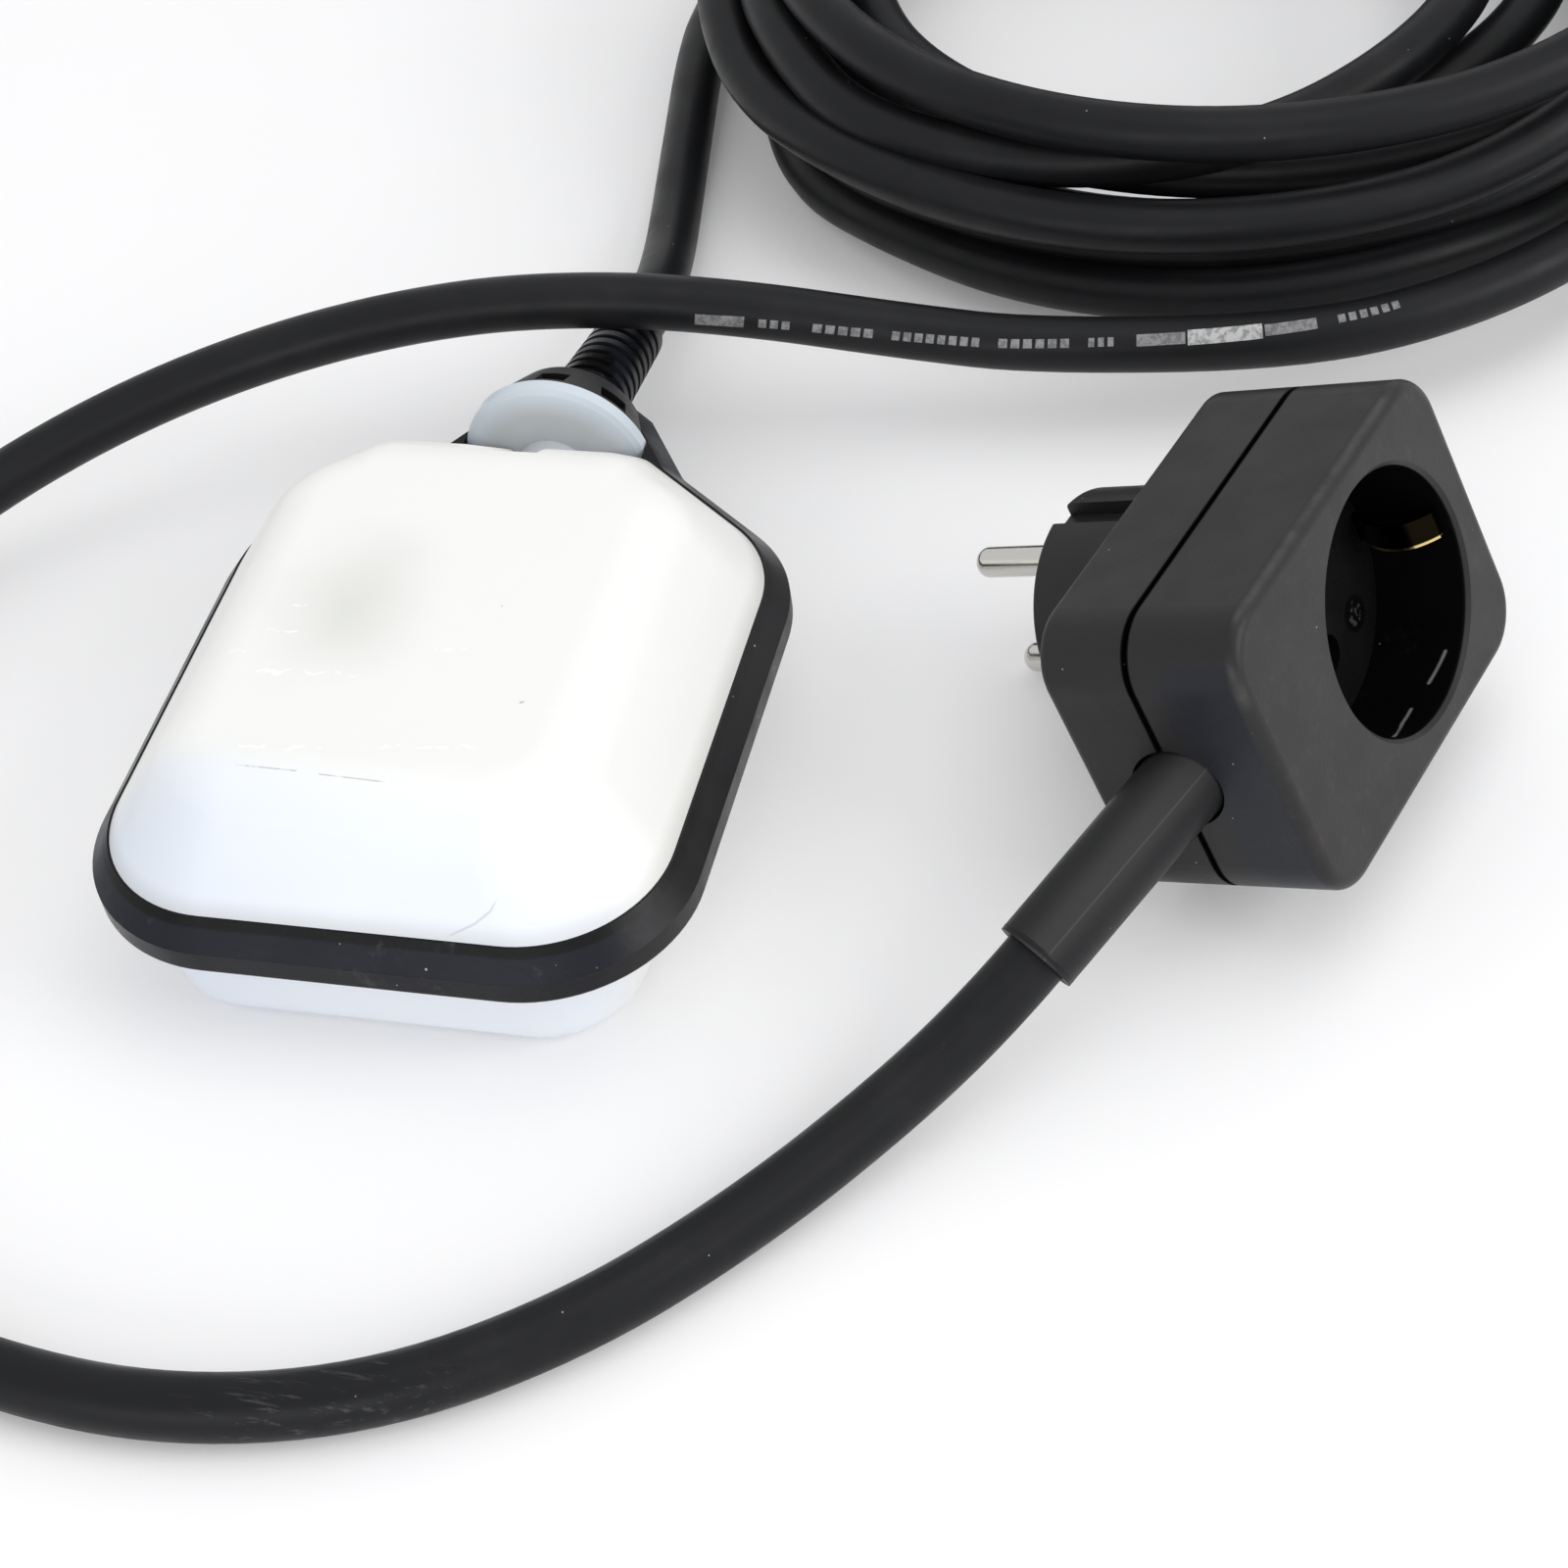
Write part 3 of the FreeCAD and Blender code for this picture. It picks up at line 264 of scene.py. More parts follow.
def settle(points, first, last):
    """Push turns of the coil apart behind the view where they would lie in each other."""
    start = np.array([list(p) for p in points])
    places = start.copy()
    weights = sample_weights(len(places))
    reach = weights.sum(axis=0)[:, None] + 1e-9
    free = np.zeros((len(places), 1))
    free[first:last, 0] = np.clip((start[first:last, 1] - STAYS_Y) / YIELDS_OVER, 0.0, 1.0)
    for _ in range(SETTLE_ROUNDS):
        line = weights @ places
        squares = sum((line[:, None, k] - line[None, :, k]) ** 2 for k in range(3))
        one, other = np.nonzero(squares < SETTLE_GAP ** 2)
        apart = np.abs(one - other) > FAR_ALONG * SAMPLES
        one, other = one[apart], other[apart]
        gap = line[one] - line[other]
        distance = np.linalg.norm(gap, axis=1)[:, None] + 1e-9
        push = np.zeros_like(line)
        touches = np.ones((len(line), 1))
        np.add.at(push, one, gap / distance * (SETTLE_GAP - distance))
        np.add.at(touches, one, 1.0)
        push /= np.maximum(touches - 1.0, 1.0)
        places += weights.T @ push / reach * SETTLE_GAIN * free
        shift = places - start
        even = shift.copy()
        even[1:-1] = 0.25 * shift[:-2] + 0.5 * shift[1:-1] + 0.25 * shift[2:]
        places = start + (shift * (1 - SETTLE_BLEND) + even * SETTLE_BLEND) * (free > 0)
        places[:, 2] = np.maximum(places[:, 2], FLOOR_Z)
    return [Vector(p) for p in places]


def make_cable():
    lead = lead_points()
    coil = coil_points()
    points = lead + coil + [Vector(p) for p in RUN_ROUTE]
    points += [SLEEVE_TIP + SLEEVE_WAY * INTO_SLEEVE, SLEEVE_TIP]
    points = settle(points, len(lead) + 1, len(lead) + len(coil) - 3)
    data = bpy.data.curves.new("cable", "CURVE")
    data.dimensions = "3D"
    spline = data.splines.new("NURBS")
    spline.points.add(len(points) - 1)
    for control, p in zip(spline.points, points):
        control.co = (p.x * MM, p.y * MM, p.z * MM, 1.0)
        control.radius = CABLE_D / 2 * MM
    spline.order_u = 3
    spline.use_endpoint_u = True
    spline.resolution_u = 8
    data.bevel_depth = 1.0
    data.bevel_resolution = 8
    cable = bpy.data.objects.new("cable", data)
    scene.collection.objects.link(cable)
    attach(cable, "float")
    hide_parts("cable_lead", "cable_coil", "cable_run")
    return cable, points


def centreline(cable):
    """Points along the cable's own spline, read from a copy with no thickness."""
    bare = cable.copy()
    bare.data = cable.data.copy()
    bare.data.bevel_depth = 0.0
    scene.collection.objects.link(bare)
    bpy.context.view_layer.update()
    depsgraph = bpy.context.evaluated_depsgraph_get()
    mesh = bpy.data.meshes.new_from_object(bare.evaluated_get(depsgraph))
    line = np.array([v.co for v in mesh.vertices])
    bpy.data.objects.remove(bare)
    bpy.data.meshes.remove(mesh)
    return line


# materials


def new_material(name):
    material = bpy.data.materials.new(name)
    material.use_nodes = True
    tree = material.node_tree
    principled = tree.nodes["Principled BSDF"]
    return material, tree, principled


def coordinate(tree):
    return tree.nodes.new("ShaderNodeTexCoord").outputs["Object"]


def feed(tree, socket, item):
    """Give a socket a number, a vector or another node's output."""
    if isinstance(item, bpy.types.NodeSocket):
        tree.links.new(item, socket)
    else:
        socket.default_value = item


def value(tree, operation, first, second=0.0):
    node = tree.nodes.new("ShaderNodeMath")
    node.operation = operation
    feed(tree, node.inputs[0], first)
    feed(tree, node.inputs[1], second)
    return node.outputs["Value"]


def vector(tree, operation, first, second):
    node = tree.nodes.new("ShaderNodeVectorMath")
    node.operation = operation
    feed(tree, node.inputs[0], first)
    feed(tree, node.inputs[1], second)
    numeric = operation in ("DOT_PRODUCT", "DISTANCE", "LENGTH")
    return node.outputs["Value" if numeric else "Vector"]


def noise(tree, at, scale, detail=4.0, rough=0.5):
    node = tree.nodes.new("ShaderNodeTexNoise")
    node.inputs["Scale"].default_value = scale
    node.inputs["Detail"].default_value = detail
    node.inputs["Roughness"].default_value = rough
    tree.links.new(at, node.inputs["Vector"])
    return node.outputs["Fac"]


def ramp(tree, item, low, high, from_value, to_value):
    node = tree.nodes.new("ShaderNodeMapRange")
    node.interpolation_type = "SMOOTHSTEP"
    node.inputs["From Min"].default_value = low
    node.inputs["From Max"].default_value = high
    node.inputs["To Min"].default_value = from_value
    node.inputs["To Max"].default_value = to_value
    tree.links.new(item, node.inputs["Value"])
    return node.outputs["Result"]


def mixed(tree, factor, first, second):
    """Mix of two colours, each a tuple or a socket."""
    node = tree.nodes.new("ShaderNodeMix")
    node.data_type = "RGBA"
    feed(tree, node.inputs["Factor"], factor)
    for socket, item in ((node.inputs[6], first), (node.inputs[7], second)):
        feed(tree, socket, (*item, 1.0) if isinstance(item, tuple) else item)
    return node.outputs[2]


def both(tree, first, *more):
    """Product of several masks or numbers."""
    for mask in more:
        first = value(tree, "MULTIPLY", first, mask)
    return first


def either(tree, masks):
    """Greatest of several masks."""
    whole = masks[0]
    for mask in masks[1:]:
        whole = value(tree, "MAXIMUM", whole, mask)
    return whole


def along(tree, at, origin, way):
    """Distance in millimetres from an origin in one direction."""
    shifted = vector(tree, "SUBTRACT", at, origin * MM)
    return vector(tree, "DOT_PRODUCT", shifted, way * (1.0 / MM))


def stroke(tree, at, first, last, half, soft):
    """1 on a short straight line and 0 away from it."""
    way = last - first
    shifted = vector(tree, "SUBTRACT", at, first * MM)
    share = vector(tree, "DOT_PRODUCT", shifted, way * (1.0 / way.length_squared / MM))
    share = clamped(tree, share)
    node = tree.nodes.new("ShaderNodeVectorMath")
    node.operation = "SCALE"
    node.inputs[0].default_value = way * MM
    tree.links.new(share, node.inputs["Scale"])
    gap = vector(tree, "DISTANCE", shifted, node.outputs["Vector"])
    return ramp(tree, gap, half * MM, (half + soft) * MM, 1.0, 0.0)


def clamped(tree, item):
    """The item kept between 0 and 1."""
    node = tree.nodes.new("ShaderNodeClamp")
    tree.links.new(item, node.inputs["Value"])
    return node.outputs["Result"]


def dust(tree, at, scale, size, share):
    """Scattered specks: 1 on a speck."""
    node = tree.nodes.new("ShaderNodeTexVoronoi")
    node.inputs["Scale"].default_value = scale
    tree.links.new(at, node.inputs["Vector"])
    spot = ramp(tree, node.outputs["Distance"], size * 0.6, size, 1.0, 0.0)
    split = tree.nodes.new("ShaderNodeSeparateColor")
    tree.links.new(node.outputs["Color"], split.inputs["Color"])
    chosen = ramp(tree, split.outputs["Red"], 1.0 - share, 1.0 - share + 0.02, 0.0, 1.0)
    return both(tree, spot, chosen)


def bump(tree, principled, height, depth):
    node = tree.nodes.new("ShaderNodeBump")
    node.inputs["Distance"].default_value = depth * MM
    node.inputs["Strength"].default_value = 1.0
    tree.links.new(height, node.inputs["Height"])
    tree.links.new(node.outputs["Normal"], principled.inputs["Normal"])


def plain_surface(name, colour, second, rough, grain, depth, metal=0.0, shine=0.5, size=1.1):
    """Surface with a slow change of colour, a fine grain and a change of gloss."""
    material, tree, principled = new_material(name)
    at = coordinate(tree)
    slow = noise(tree, at, 35.0, 5.0, 0.6)
    base = mixed(tree, slow, colour, second)
    tree.links.new(base, principled.inputs["Base Color"])
    gloss = ramp(tree, noise(tree, at, 120.0), 0.3, 0.7, rough - grain, rough + grain)
    tree.links.new(gloss, principled.inputs["Roughness"])
    principled.inputs["Metallic"].default_value = metal
    principled.inputs["Specular IOR Level"].default_value = shine
    bump(tree, principled, noise(tree, at, 1.0 / (size * MM), 3.0), depth)
    return material, tree, principled, at, base


def painted_slope_shade(tree, at, base):
    """Painted shade: a cooler tint down the near slope, deepest towards its left corner."""
    # colours of the painted shade: on the near slope, and deeper at its left corner
    cool = (0.79, 0.825, 0.885)
    corner_shade = (0.70, 0.75, 0.83)
    near = ramp(tree, along(tree, at, ORIGIN, NEARER), 38.0, 52.0, 0.0, 1.0)
    base = mixed(tree, near, base, cool)
    left = ramp(tree, along(tree, at, ORIGIN, -RIGHT), -5.0, 38.0, 0.0, 0.8)
    return mixed(tree, both(tree, near, left), base, corner_shade)


def grey_blotch(tree, at, base):
    """Soft grey stain on the top."""
    stain = (0.60, 0.61, 0.57)
    stretch = Vector((1 / BLOTCH_WIDE, 1 / BLOTCH_LONG, 0.0)) / MM
    wander = noise(tree, at, 45.0, 2.0, 0.5)
    shifted = vector(tree, "SUBTRACT", at, BLOTCH_AT * MM)
    bent = vector(tree, "MULTIPLY", shifted, stretch)
    reach = value(tree, "ADD", vector(tree, "LENGTH", bent, bent), both(tree, wander, 0.9))
    return mixed(tree, ramp(tree, reach, 0.45, 1.80, 0.55, 0.0), base, stain)


def shaded_foot(tree, at, base):
    """Painted shade: a greyer line where the shell meets the seal."""
    foot_shade = (0.42, 0.41, 0.39)
    height = along(tree, at, ORIGIN, UP)
    foot = both(tree, ramp(tree, height, 25.6, 28.5, 0.35, 0.0),
                ramp(tree, height, 21.0, 25.0, 0.0, 1.0))
    return mixed(tree, foot, base, foot_shade)


def pale_scuffs(tree, at, base):
    """Short wavering scuffs, lighter than the shell."""
    waver = tree.nodes.new("ShaderNodeTexNoise")
    waver.inputs["Scale"].default_value = 330.0
    tree.links.new(at, waver.inputs["Vector"])
    swing = Vector((0.0, SCUFF_WAVER, 0.0))
    jitter = vector(tree, "MULTIPLY", waver.outputs["Color"], swing * 2.0 * MM)
    shaken = vector(tree, "ADD", at, vector(tree, "SUBTRACT", jitter, swing * MM))
    scuffs = []
    for x, y, far_x, far_y in TOP_SCUFFS:
        first, last = Vector((x, y, TOP_Z)), Vector((far_x, far_y, TOP_Z))
        scuffs.append(stroke(tree, shaken, first, last, 0.06, 0.36))
    patchy = ramp(tree, noise(tree, at, 520.0, 3.0), 0.40, 0.60, 0.0, 1.0)
    scuff = both(tree, either(tree, scuffs), patchy)
    return mixed(tree, both(tree, scuff, 0.8), base, (0.97, 0.97, 0.96))


def dark_marks(tree, at, base):
    """Scratch in dashes, a hairline crack, a few specks and fine dust."""
    marks = []
    for first, last in zip(SCRATCH[::2], SCRATCH[1::2]):
        line = stroke(tree, at, Vector(first), Vector(last), 0.0, 0.17)
        broken = ramp(tree, noise(tree, at, 600.0, 2.0), 0.38, 0.52, 0.3, 1.0)
        marks.append(both(tree, line, broken))
    for first, last in zip(HAIRLINE, HAIRLINE[1:]):
        line = stroke(tree, at, Vector(first), Vector(last), 0.08, 0.2)
        marks.append(both(tree, line, 0.5))
    for spot in SPECKS:
        end = Vector(spot) + Vector((0.3, 0.1, 0.0))
        marks.append(stroke(tree, at, Vector(spot), end, 0.08, 0.2))
    marks.append(both(tree, dust(tree, at, 75.0, 0.014, 0.5), 0.8))
    return mixed(tree, both(tree, either(tree, marks), 0.55), base, (0.16, 0.16, 0.15))


def shell_material():
    """White moulding, warm on top, with painted shade down its near slope and where it meets the
    seal, and with its scuffs, scratch, crack, specks and stain.
    """
    material, tree, principled, at, base = plain_surface(
        "white_shell", (0.875, 0.877, 0.850), (0.862, 0.864, 0.838), 0.36, 0.05, 0.012,
        shine=0.4)
    for layer in (painted_slope_shade, grey_blotch, shaded_foot, pale_scuffs, dark_marks):
        base = layer(tree, at, base)
    tree.links.new(base, principled.inputs["Base Color"])
    return material


def seal_material():
    """Rubber of the seal, with painted shade on the thin band by the shell and along its lower
    edge, painted light on its right side, dust and rubbed places.
    """
    shadow = (0.002, 0.002, 0.002)
    lower_edge_shade = (0.007, 0.007, 0.008)
    grey = (0.022, 0.021, 0.021)
    material, tree, principled, at, base = plain_surface(
        "black_seal", (0.0075, 0.0088, 0.0145), (0.012, 0.0138, 0.020), 0.36, 0.08, 0.03,
        shine=0.20)
    height = along(tree, at, ORIGIN, UP)
    # painted shade: the band next to the shell goes nearly black
    base = mixed(tree, ramp(tree, height, SEAL_TOP, SEAL_TOP + 0.4, 0.0, 0.9), base, shadow)
    # painted shade: darker along the seal's lower edge
    base = mixed(tree, ramp(tree, height, SEAL_FOOT, SEAL_FOOT + 0.7, 0.8, 0.0), base, lower_edge_shade)
    rubbed = ramp(tree, noise(tree, at, 160.0, 8.0, 0.7), 0.60, 0.74, 0.0, 0.35)
    base = mixed(tree, rubbed, base, (0.075, 0.078, 0.088))
    # painted light: the seal's right side is lighter, as the light falls there
    right = ramp(tree, along(tree, at, ORIGIN, RIGHT), 34.0, 45.0, 0.0, 0.75)
    base = mixed(tree, right, base, grey)
    base = mixed(tree, dust(tree, at, 380.0, 0.085, 0.3), base, (0.42, 0.42, 0.42))
    tree.links.new(base, principled.inputs["Base Color"])
    return material


def disc_material():
    """Grey flange of the gland, with painted light: paler and bluer towards its edge."""
    material, tree, principled, at, base = plain_surface(
        "grey_disc", (0.46, 0.485, 0.505), (0.50, 0.525, 0.55), 0.34, 0.05, 0.01, shine=0.5)
    shifted = vector(tree, "SUBTRACT", at, GLAND_END * MM)
    flat = vector(tree, "MULTIPLY", shifted, Vector((1.0, 0.0, 1.0)) / MM)
    # painted light: the flange turns paler and bluer towards its edge
    edge = ramp(tree, vector(tree, "LENGTH", flat, flat), 10.5, 15.0, 0.0, 0.8)
    base = mixed(tree, edge, base, (0.62, 0.69, 0.76))
    tree.links.new(base, principled.inputs["Base Color"])
    return material


def cable_material():
    """Rubber jacket with a dull bloom, rubbed places, dust and a streaked stretch."""
    material, tree, principled, at, base = plain_surface(
        "cable", (0.006, 0.0063, 0.0075), (0.010, 0.0103, 0.0115), 0.42, 0.05, 0.02,
        shine=0.19, size=0.7)
    bloom = ramp(tree, noise(tree, at, 22.0, 6.0, 0.65), 0.50, 0.72, 0.0, 0.5)
    base = mixed(tree, bloom, base, (0.020, 0.020, 0.021))
    rubbed = ramp(tree, noise(tree, at, 230.0, 8.0, 0.75), 0.66, 0.78, 0.0, 0.4)
    base = mixed(tree, rubbed, base, (0.11, 0.11, 0.11))
    base = mixed(tree, dust(tree, at, 300.0, 0.045, 0.2), base, (0.32, 0.32, 0.32))
    shifted = vector(tree, "SUBTRACT", at, RUBBED_AT * MM)
    reach = vector(tree, "LENGTH", shifted, shifted)
    drawn = vector(tree, "MULTIPLY", at, Vector((0.07, 1.0, 1.0)))
    streaks = ramp(tree, noise(tree, drawn, 1100.0, 5.0, 0.7), 0.56, 0.68, 0.0, 0.35)
    streaks = both(tree, streaks, ramp(tree, reach, 10.0 * MM, 26.0 * MM, 1.0, 0.0))
    base = mixed(tree, streaks, base, (0.10, 0.10, 0.11))
    tree.links.new(base, principled.inputs["Base Color"])
    return material


def recess_shade_mask(tree, at, out):
    """Mask of painted shade: 1 on the wall of the socket's recess and in the gap between the
    housing's halves.
    """
    shifted = vector(tree, "SUBTRACT", at, PLUG_AT * MM)
    far = vector(tree, "LENGTH", shifted, shifted)
    deep = value(tree, "POWER", both(tree, out, MM), 2.0)
    reach = value(tree, "SQRT", value(tree, "SUBTRACT", both(tree, far, far), deep))
    depth = both(tree, ramp(tree, out, -1.2, -0.3, 1.0, 0.0),
                 ramp(tree, out, RECESS_FLOOR, RECESS_FLOOR + 0.2, 0.0, 1.0))
    shade_inside = both(tree, ramp(tree, reach, RECESS_R * MM, (RECESS_R + 0.5) * MM, 1.0, 0.0), depth)
    gap = value(tree, "ABSOLUTE", value(tree, "ADD", out, GAP_DEPTH))
    return either(tree, [shade_inside, ramp(tree, gap, 0.62, 0.74, 1.0, 0.0)])


def plug_material():
    """Grained plastic of the plug, warm in front, with a worn edge painted partly as a highlight,
    painted shade on its underside, in its recess and in the housing's parting gap, and painted
    glints in the recess.
    """
    shine = 0.28
    material, tree, principled, at, base = plain_surface(
        "plug_plastic", (0.0115, 0.0112, 0.0118), (0.017, 0.0166, 0.0172), 0.40, 0.05, 0.03,
        shine=shine, size=0.5)
    out = along(tree, at, PLUG_AT, PLUG_OUT)
    across = along(tree, at, PLUG_AT, PLUG_ACROSS)
    down = along(tree, at, PLUG_AT, PLUG_ALONG)

    warm = ramp(tree, out, -1.2, -0.1, 0.0, 1.0)
    base = mixed(tree, both(tree, warm, 0.6), base, (0.0195, 0.0178, 0.0172))
    mottled = ramp(tree, noise(tree, at, 330.0, 8.0, 0.7), 0.50, 0.70, 0.0, 0.35)
    base = mixed(tree, both(tree, warm, mottled), base, (0.045, 0.034, 0.030))

    # painted shade: a dark bluish band on the underside, behind the front
    blue = both(tree, ramp(tree, down, -38.6, -37.8, 0.7, 0.0),
                ramp(tree, out, -15.0, -9.0, 0.0, 1.0),
                ramp(tree, out, -2.0, -1.0, 1.0, 0.0))
    base = mixed(tree, blue, base, (0.007, 0.010, 0.018))

    # painted highlight on an edge that is also really worn: the front's left edge and its lower
    # corner are lightened
    front = ramp(tree, out, -1.9, -0.7, 0.0, 1.0)
    side = ramp(tree, across, -24.3, -23.2, 1.0, 0.0)
    corner = both(tree, ramp(tree, down, -38.8, -37.6, 1.0, 0.0),
                  ramp(tree, across, -16.0, -12.0, 1.0, 0.0))
    wear_and_highlight = ramp(tree, noise(tree, at, 140.0, 6.0, 0.6), 0.36, 0.62, 0.25, 0.8)
    worn = both(tree, front, either(tree, [side, corner]), wear_and_highlight)
    base = mixed(tree, worn, base, (0.075, 0.072, 0.070))

    shade_inside = recess_shade_mask(tree, at, out)
    # painted shade: the recess wall and the parting gap go nearly black
    base = mixed(tree, shade_inside, base, (0.002, 0.002, 0.002))
    feed(tree, principled.inputs["Specular IOR Level"],
         ramp(tree, shade_inside, 0.0, 1.0, shine, 0.10))

    rubbed = ramp(tree, noise(tree, at, 90.0, 9.0, 0.7), 0.62, 0.78, 0.0, 0.25)
    base = mixed(tree, rubbed, base, (0.07, 0.07, 0.072))
    base = mixed(tree, dust(tree, at, 330.0, 0.05, 0.25), base, (0.30, 0.30, 0.30))
    glints = [stroke(tree, at, Vector(first), Vector(last), 0.10, 0.35)
              for first, last in GLINTS]
    base = mixed(tree, both(tree, either(tree, glints), 0.7), base, (0.30, 0.30, 0.31))
    tree.links.new(base, principled.inputs["Base Color"])
    return material


def insert_material():
    """Dark disc at the bottom of the socket, with a screw's dimple in it painted as a patch of
    shade, with painted glints inside.
    """
    material, tree, principled, at, base = plain_surface(
        "insert_plastic", (0.0045, 0.0045, 0.0047), (0.0075, 0.0075, 0.0078), 0.28, 0.06, 0.02,
        shine=0.25)
    across = value(tree, "SUBTRACT", along(tree, at, PLUG_AT, PLUG_ACROSS), DIMPLE_ACROSS)
    down = value(tree, "SUBTRACT", along(tree, at, PLUG_AT, PLUG_ALONG), DIMPLE_ALONG)
    squares = value(tree, "ADD", both(tree, across, across), both(tree, down, down))
    reach = value(tree, "SQRT", squares)
    # painted shade: the screw's dimple is a darker patch
    base = mixed(tree, ramp(tree, reach, 2.6, 3.1, 0.9, 0.0), base, (0.0012, 0.0012, 0.0012))
    # painted glints inside the dimple
    dimple_glints = both(tree, ramp(tree, reach, 1.6, 2.2, 1.0, 0.0),
                   ramp(tree, noise(tree, at, 900.0, 3.0), 0.54, 0.62, 0.0, 1.0))
    base = mixed(tree, dimple_glints, base, (0.045, 0.045, 0.045))
    tree.links.new(base, principled.inputs["Base Color"])
    return material


def sleeve_material(made):
    """The cable's rubber with a painted sheen, and the mould's parting line along the sleeve,
    painted pale as a highlight.
    """
    material = made.copy()
    material.name = "sleeve_rubber"
    tree = material.node_tree
    principled = tree.nodes["Principled BSDF"]
    at = coordinate(tree)
    side = SLEEVE_WAY.cross(SLEEVE_SEEN_FROM).normalized()
    offset = value(tree, "SUBTRACT", along(tree, at, SLEEVE_TIP, side), SEAM_OFFSET)
    seam = ramp(tree, value(tree, "ABSOLUTE", offset), 0.05, 0.22, 1.0, 0.0)
    old = principled.inputs["Base Color"].links[0].from_socket
    # painted sheen: a lighter band just beside the parting line
    from_sheen = value(tree, "ABSOLUTE", value(tree, "SUBTRACT", offset, 1.2))
    base = mixed(tree, ramp(tree, from_sheen, 0.4, 4.4, 0.8, 0.12), old, (0.040, 0.040, 0.040))
    # the real parting line, painted pale as a highlight
    base = mixed(tree, both(tree, seam, 0.35), base, (0.09, 0.09, 0.092))
    tree.links.new(base, principled.inputs["Base Color"])
    return material


def clip_material():
    """Brass of the earth clips, painted dark as shade except along one edge, which keeps the
    bright brass.
    """
    material, tree, principled, at, base = plain_surface(
        "clip_brass", (0.72, 0.54, 0.22), (0.80, 0.62, 0.28), 0.24, 0.05, 0.01, metal=1.0)
    across = along(tree, at, PLUG_AT, PLUG_ACROSS)
    # painted shade: the clip goes dark except along one edge
    dull = ramp(tree, across, 1.70, 1.95, 1.0, 0.0)
    base = mixed(tree, dull, base, (0.008, 0.006, 0.003))
    tree.links.new(base, principled.inputs["Base Color"])
    return material


def table_surface(name):
    """Surface of a piece whose slot needs nothing but a row of the table."""
    return plain_surface(name, *PLAIN[name])[0]


# two colours, roughness, its change, depth of the grain, and metal where it is one
PLAIN = {
    "black_collar": ((0.014, 0.014, 0.015), (0.024, 0.024, 0.025), 0.42, 0.08, 0.04),
    "grommet_rubber": ((0.09, 0.09, 0.09), (0.12, 0.12, 0.12), 0.6, 0.08, 0.04),
    "capsule_plastic": ((0.50, 0.52, 0.55), (0.56, 0.58, 0.60), 0.5, 0.07, 0.03),
    "switch_plastic": ((0.03, 0.03, 0.032), (0.05, 0.05, 0.052), 0.45, 0.07, 0.03),
    "steel": ((0.60, 0.60, 0.61), (0.70, 0.70, 0.71), 0.22, 0.06, 0.01, 1.0),
    "switch_button": ((0.55, 0.05, 0.03), (0.62, 0.07, 0.04), 0.4, 0.06, 0.02),
    "brass": ((0.72, 0.52, 0.20), (0.84, 0.66, 0.32), 0.25, 0.07, 0.02, 1.0),
    "core_brown": ((0.12, 0.05, 0.02), (0.16, 0.07, 0.03), 0.45, 0.06, 0.03),
    "core_blue": ((0.02, 0.08, 0.35), (0.03, 0.11, 0.42), 0.45, 0.06, 0.03),
    "core_black": ((0.015, 0.015, 0.015), (0.03, 0.03, 0.03), 0.45, 0.06, 0.03),
    "pin_metal": ((0.60, 0.585, 0.55), (0.70, 0.685, 0.65), 0.16, 0.05, 0.01, 1.0),
}
WORKED = {
    "white_shell": shell_material,
    "black_seal": seal_material,
    "grey_disc": disc_material,
    "cable_rubber": cable_material,
    "plug_plastic": plug_material,
    "insert_plastic": insert_material,
}


def paint_nodes():
    slots = {s["node"]: s["material_slot"] for s in frame["record"]["subparts"]}
    made = {}
    for name, piece in nodes.items():
        slot = slots[name]
        if slot not in made:
            made[slot] = WORKED[slot]() if slot in WORKED else table_surface(slot)
        piece.data.materials.clear()
        piece.data.materials.append(made[slot])
    nodes["plug_sleeve"].data.materials[0] = sleeve_material(made["cable_rubber"])
    clip = clip_material()
    for name in ("earth_clip_left", "earth_clip_right"):
        nodes[name].data.materials[0] = clip
    return made


def make_sleeve_lip(material):
    """Rolled lip at the open end of the cable sleeve."""
    side = SLEEVE_WAY.cross(UP).normalized()
    up = side.cross(SLEEVE_WAY).normalized()
    vertices, faces = [], []
    for i in range(LIP_AROUND):
        angle = 2 * math.pi * i / LIP_AROUND
        outward = side * math.cos(angle) + up * math.sin(angle)
        for j in range(LIP_ACROSS):
            turn = 2 * math.pi * j / LIP_ACROSS
            reach = LIP_R + LIP_THICK * math.cos(turn)
            place = SLEEVE_TIP + outward * reach - SLEEVE_WAY * (LIP_THICK * (1 - math.sin(turn)))
            vertices.append((place * MM)[:])
            row, next_row = i * LIP_ACROSS, (i + 1) % LIP_AROUND * LIP_ACROSS
            above = (j + 1) % LIP_ACROSS
            faces.append((row + j, next_row + j, next_row + above, row + above))
    mesh = bpy.data.meshes.new("sleeve_lip")
    mesh.from_pydata(vertices, [], faces)
    mesh.polygons.foreach_set("use_smooth", [True] * len(faces))
    mesh.materials.append(material)
    piece = bpy.data.objects.new("sleeve_lip", mesh)
    scene.collection.objects.link(piece)
    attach(piece, "float")
    return piece


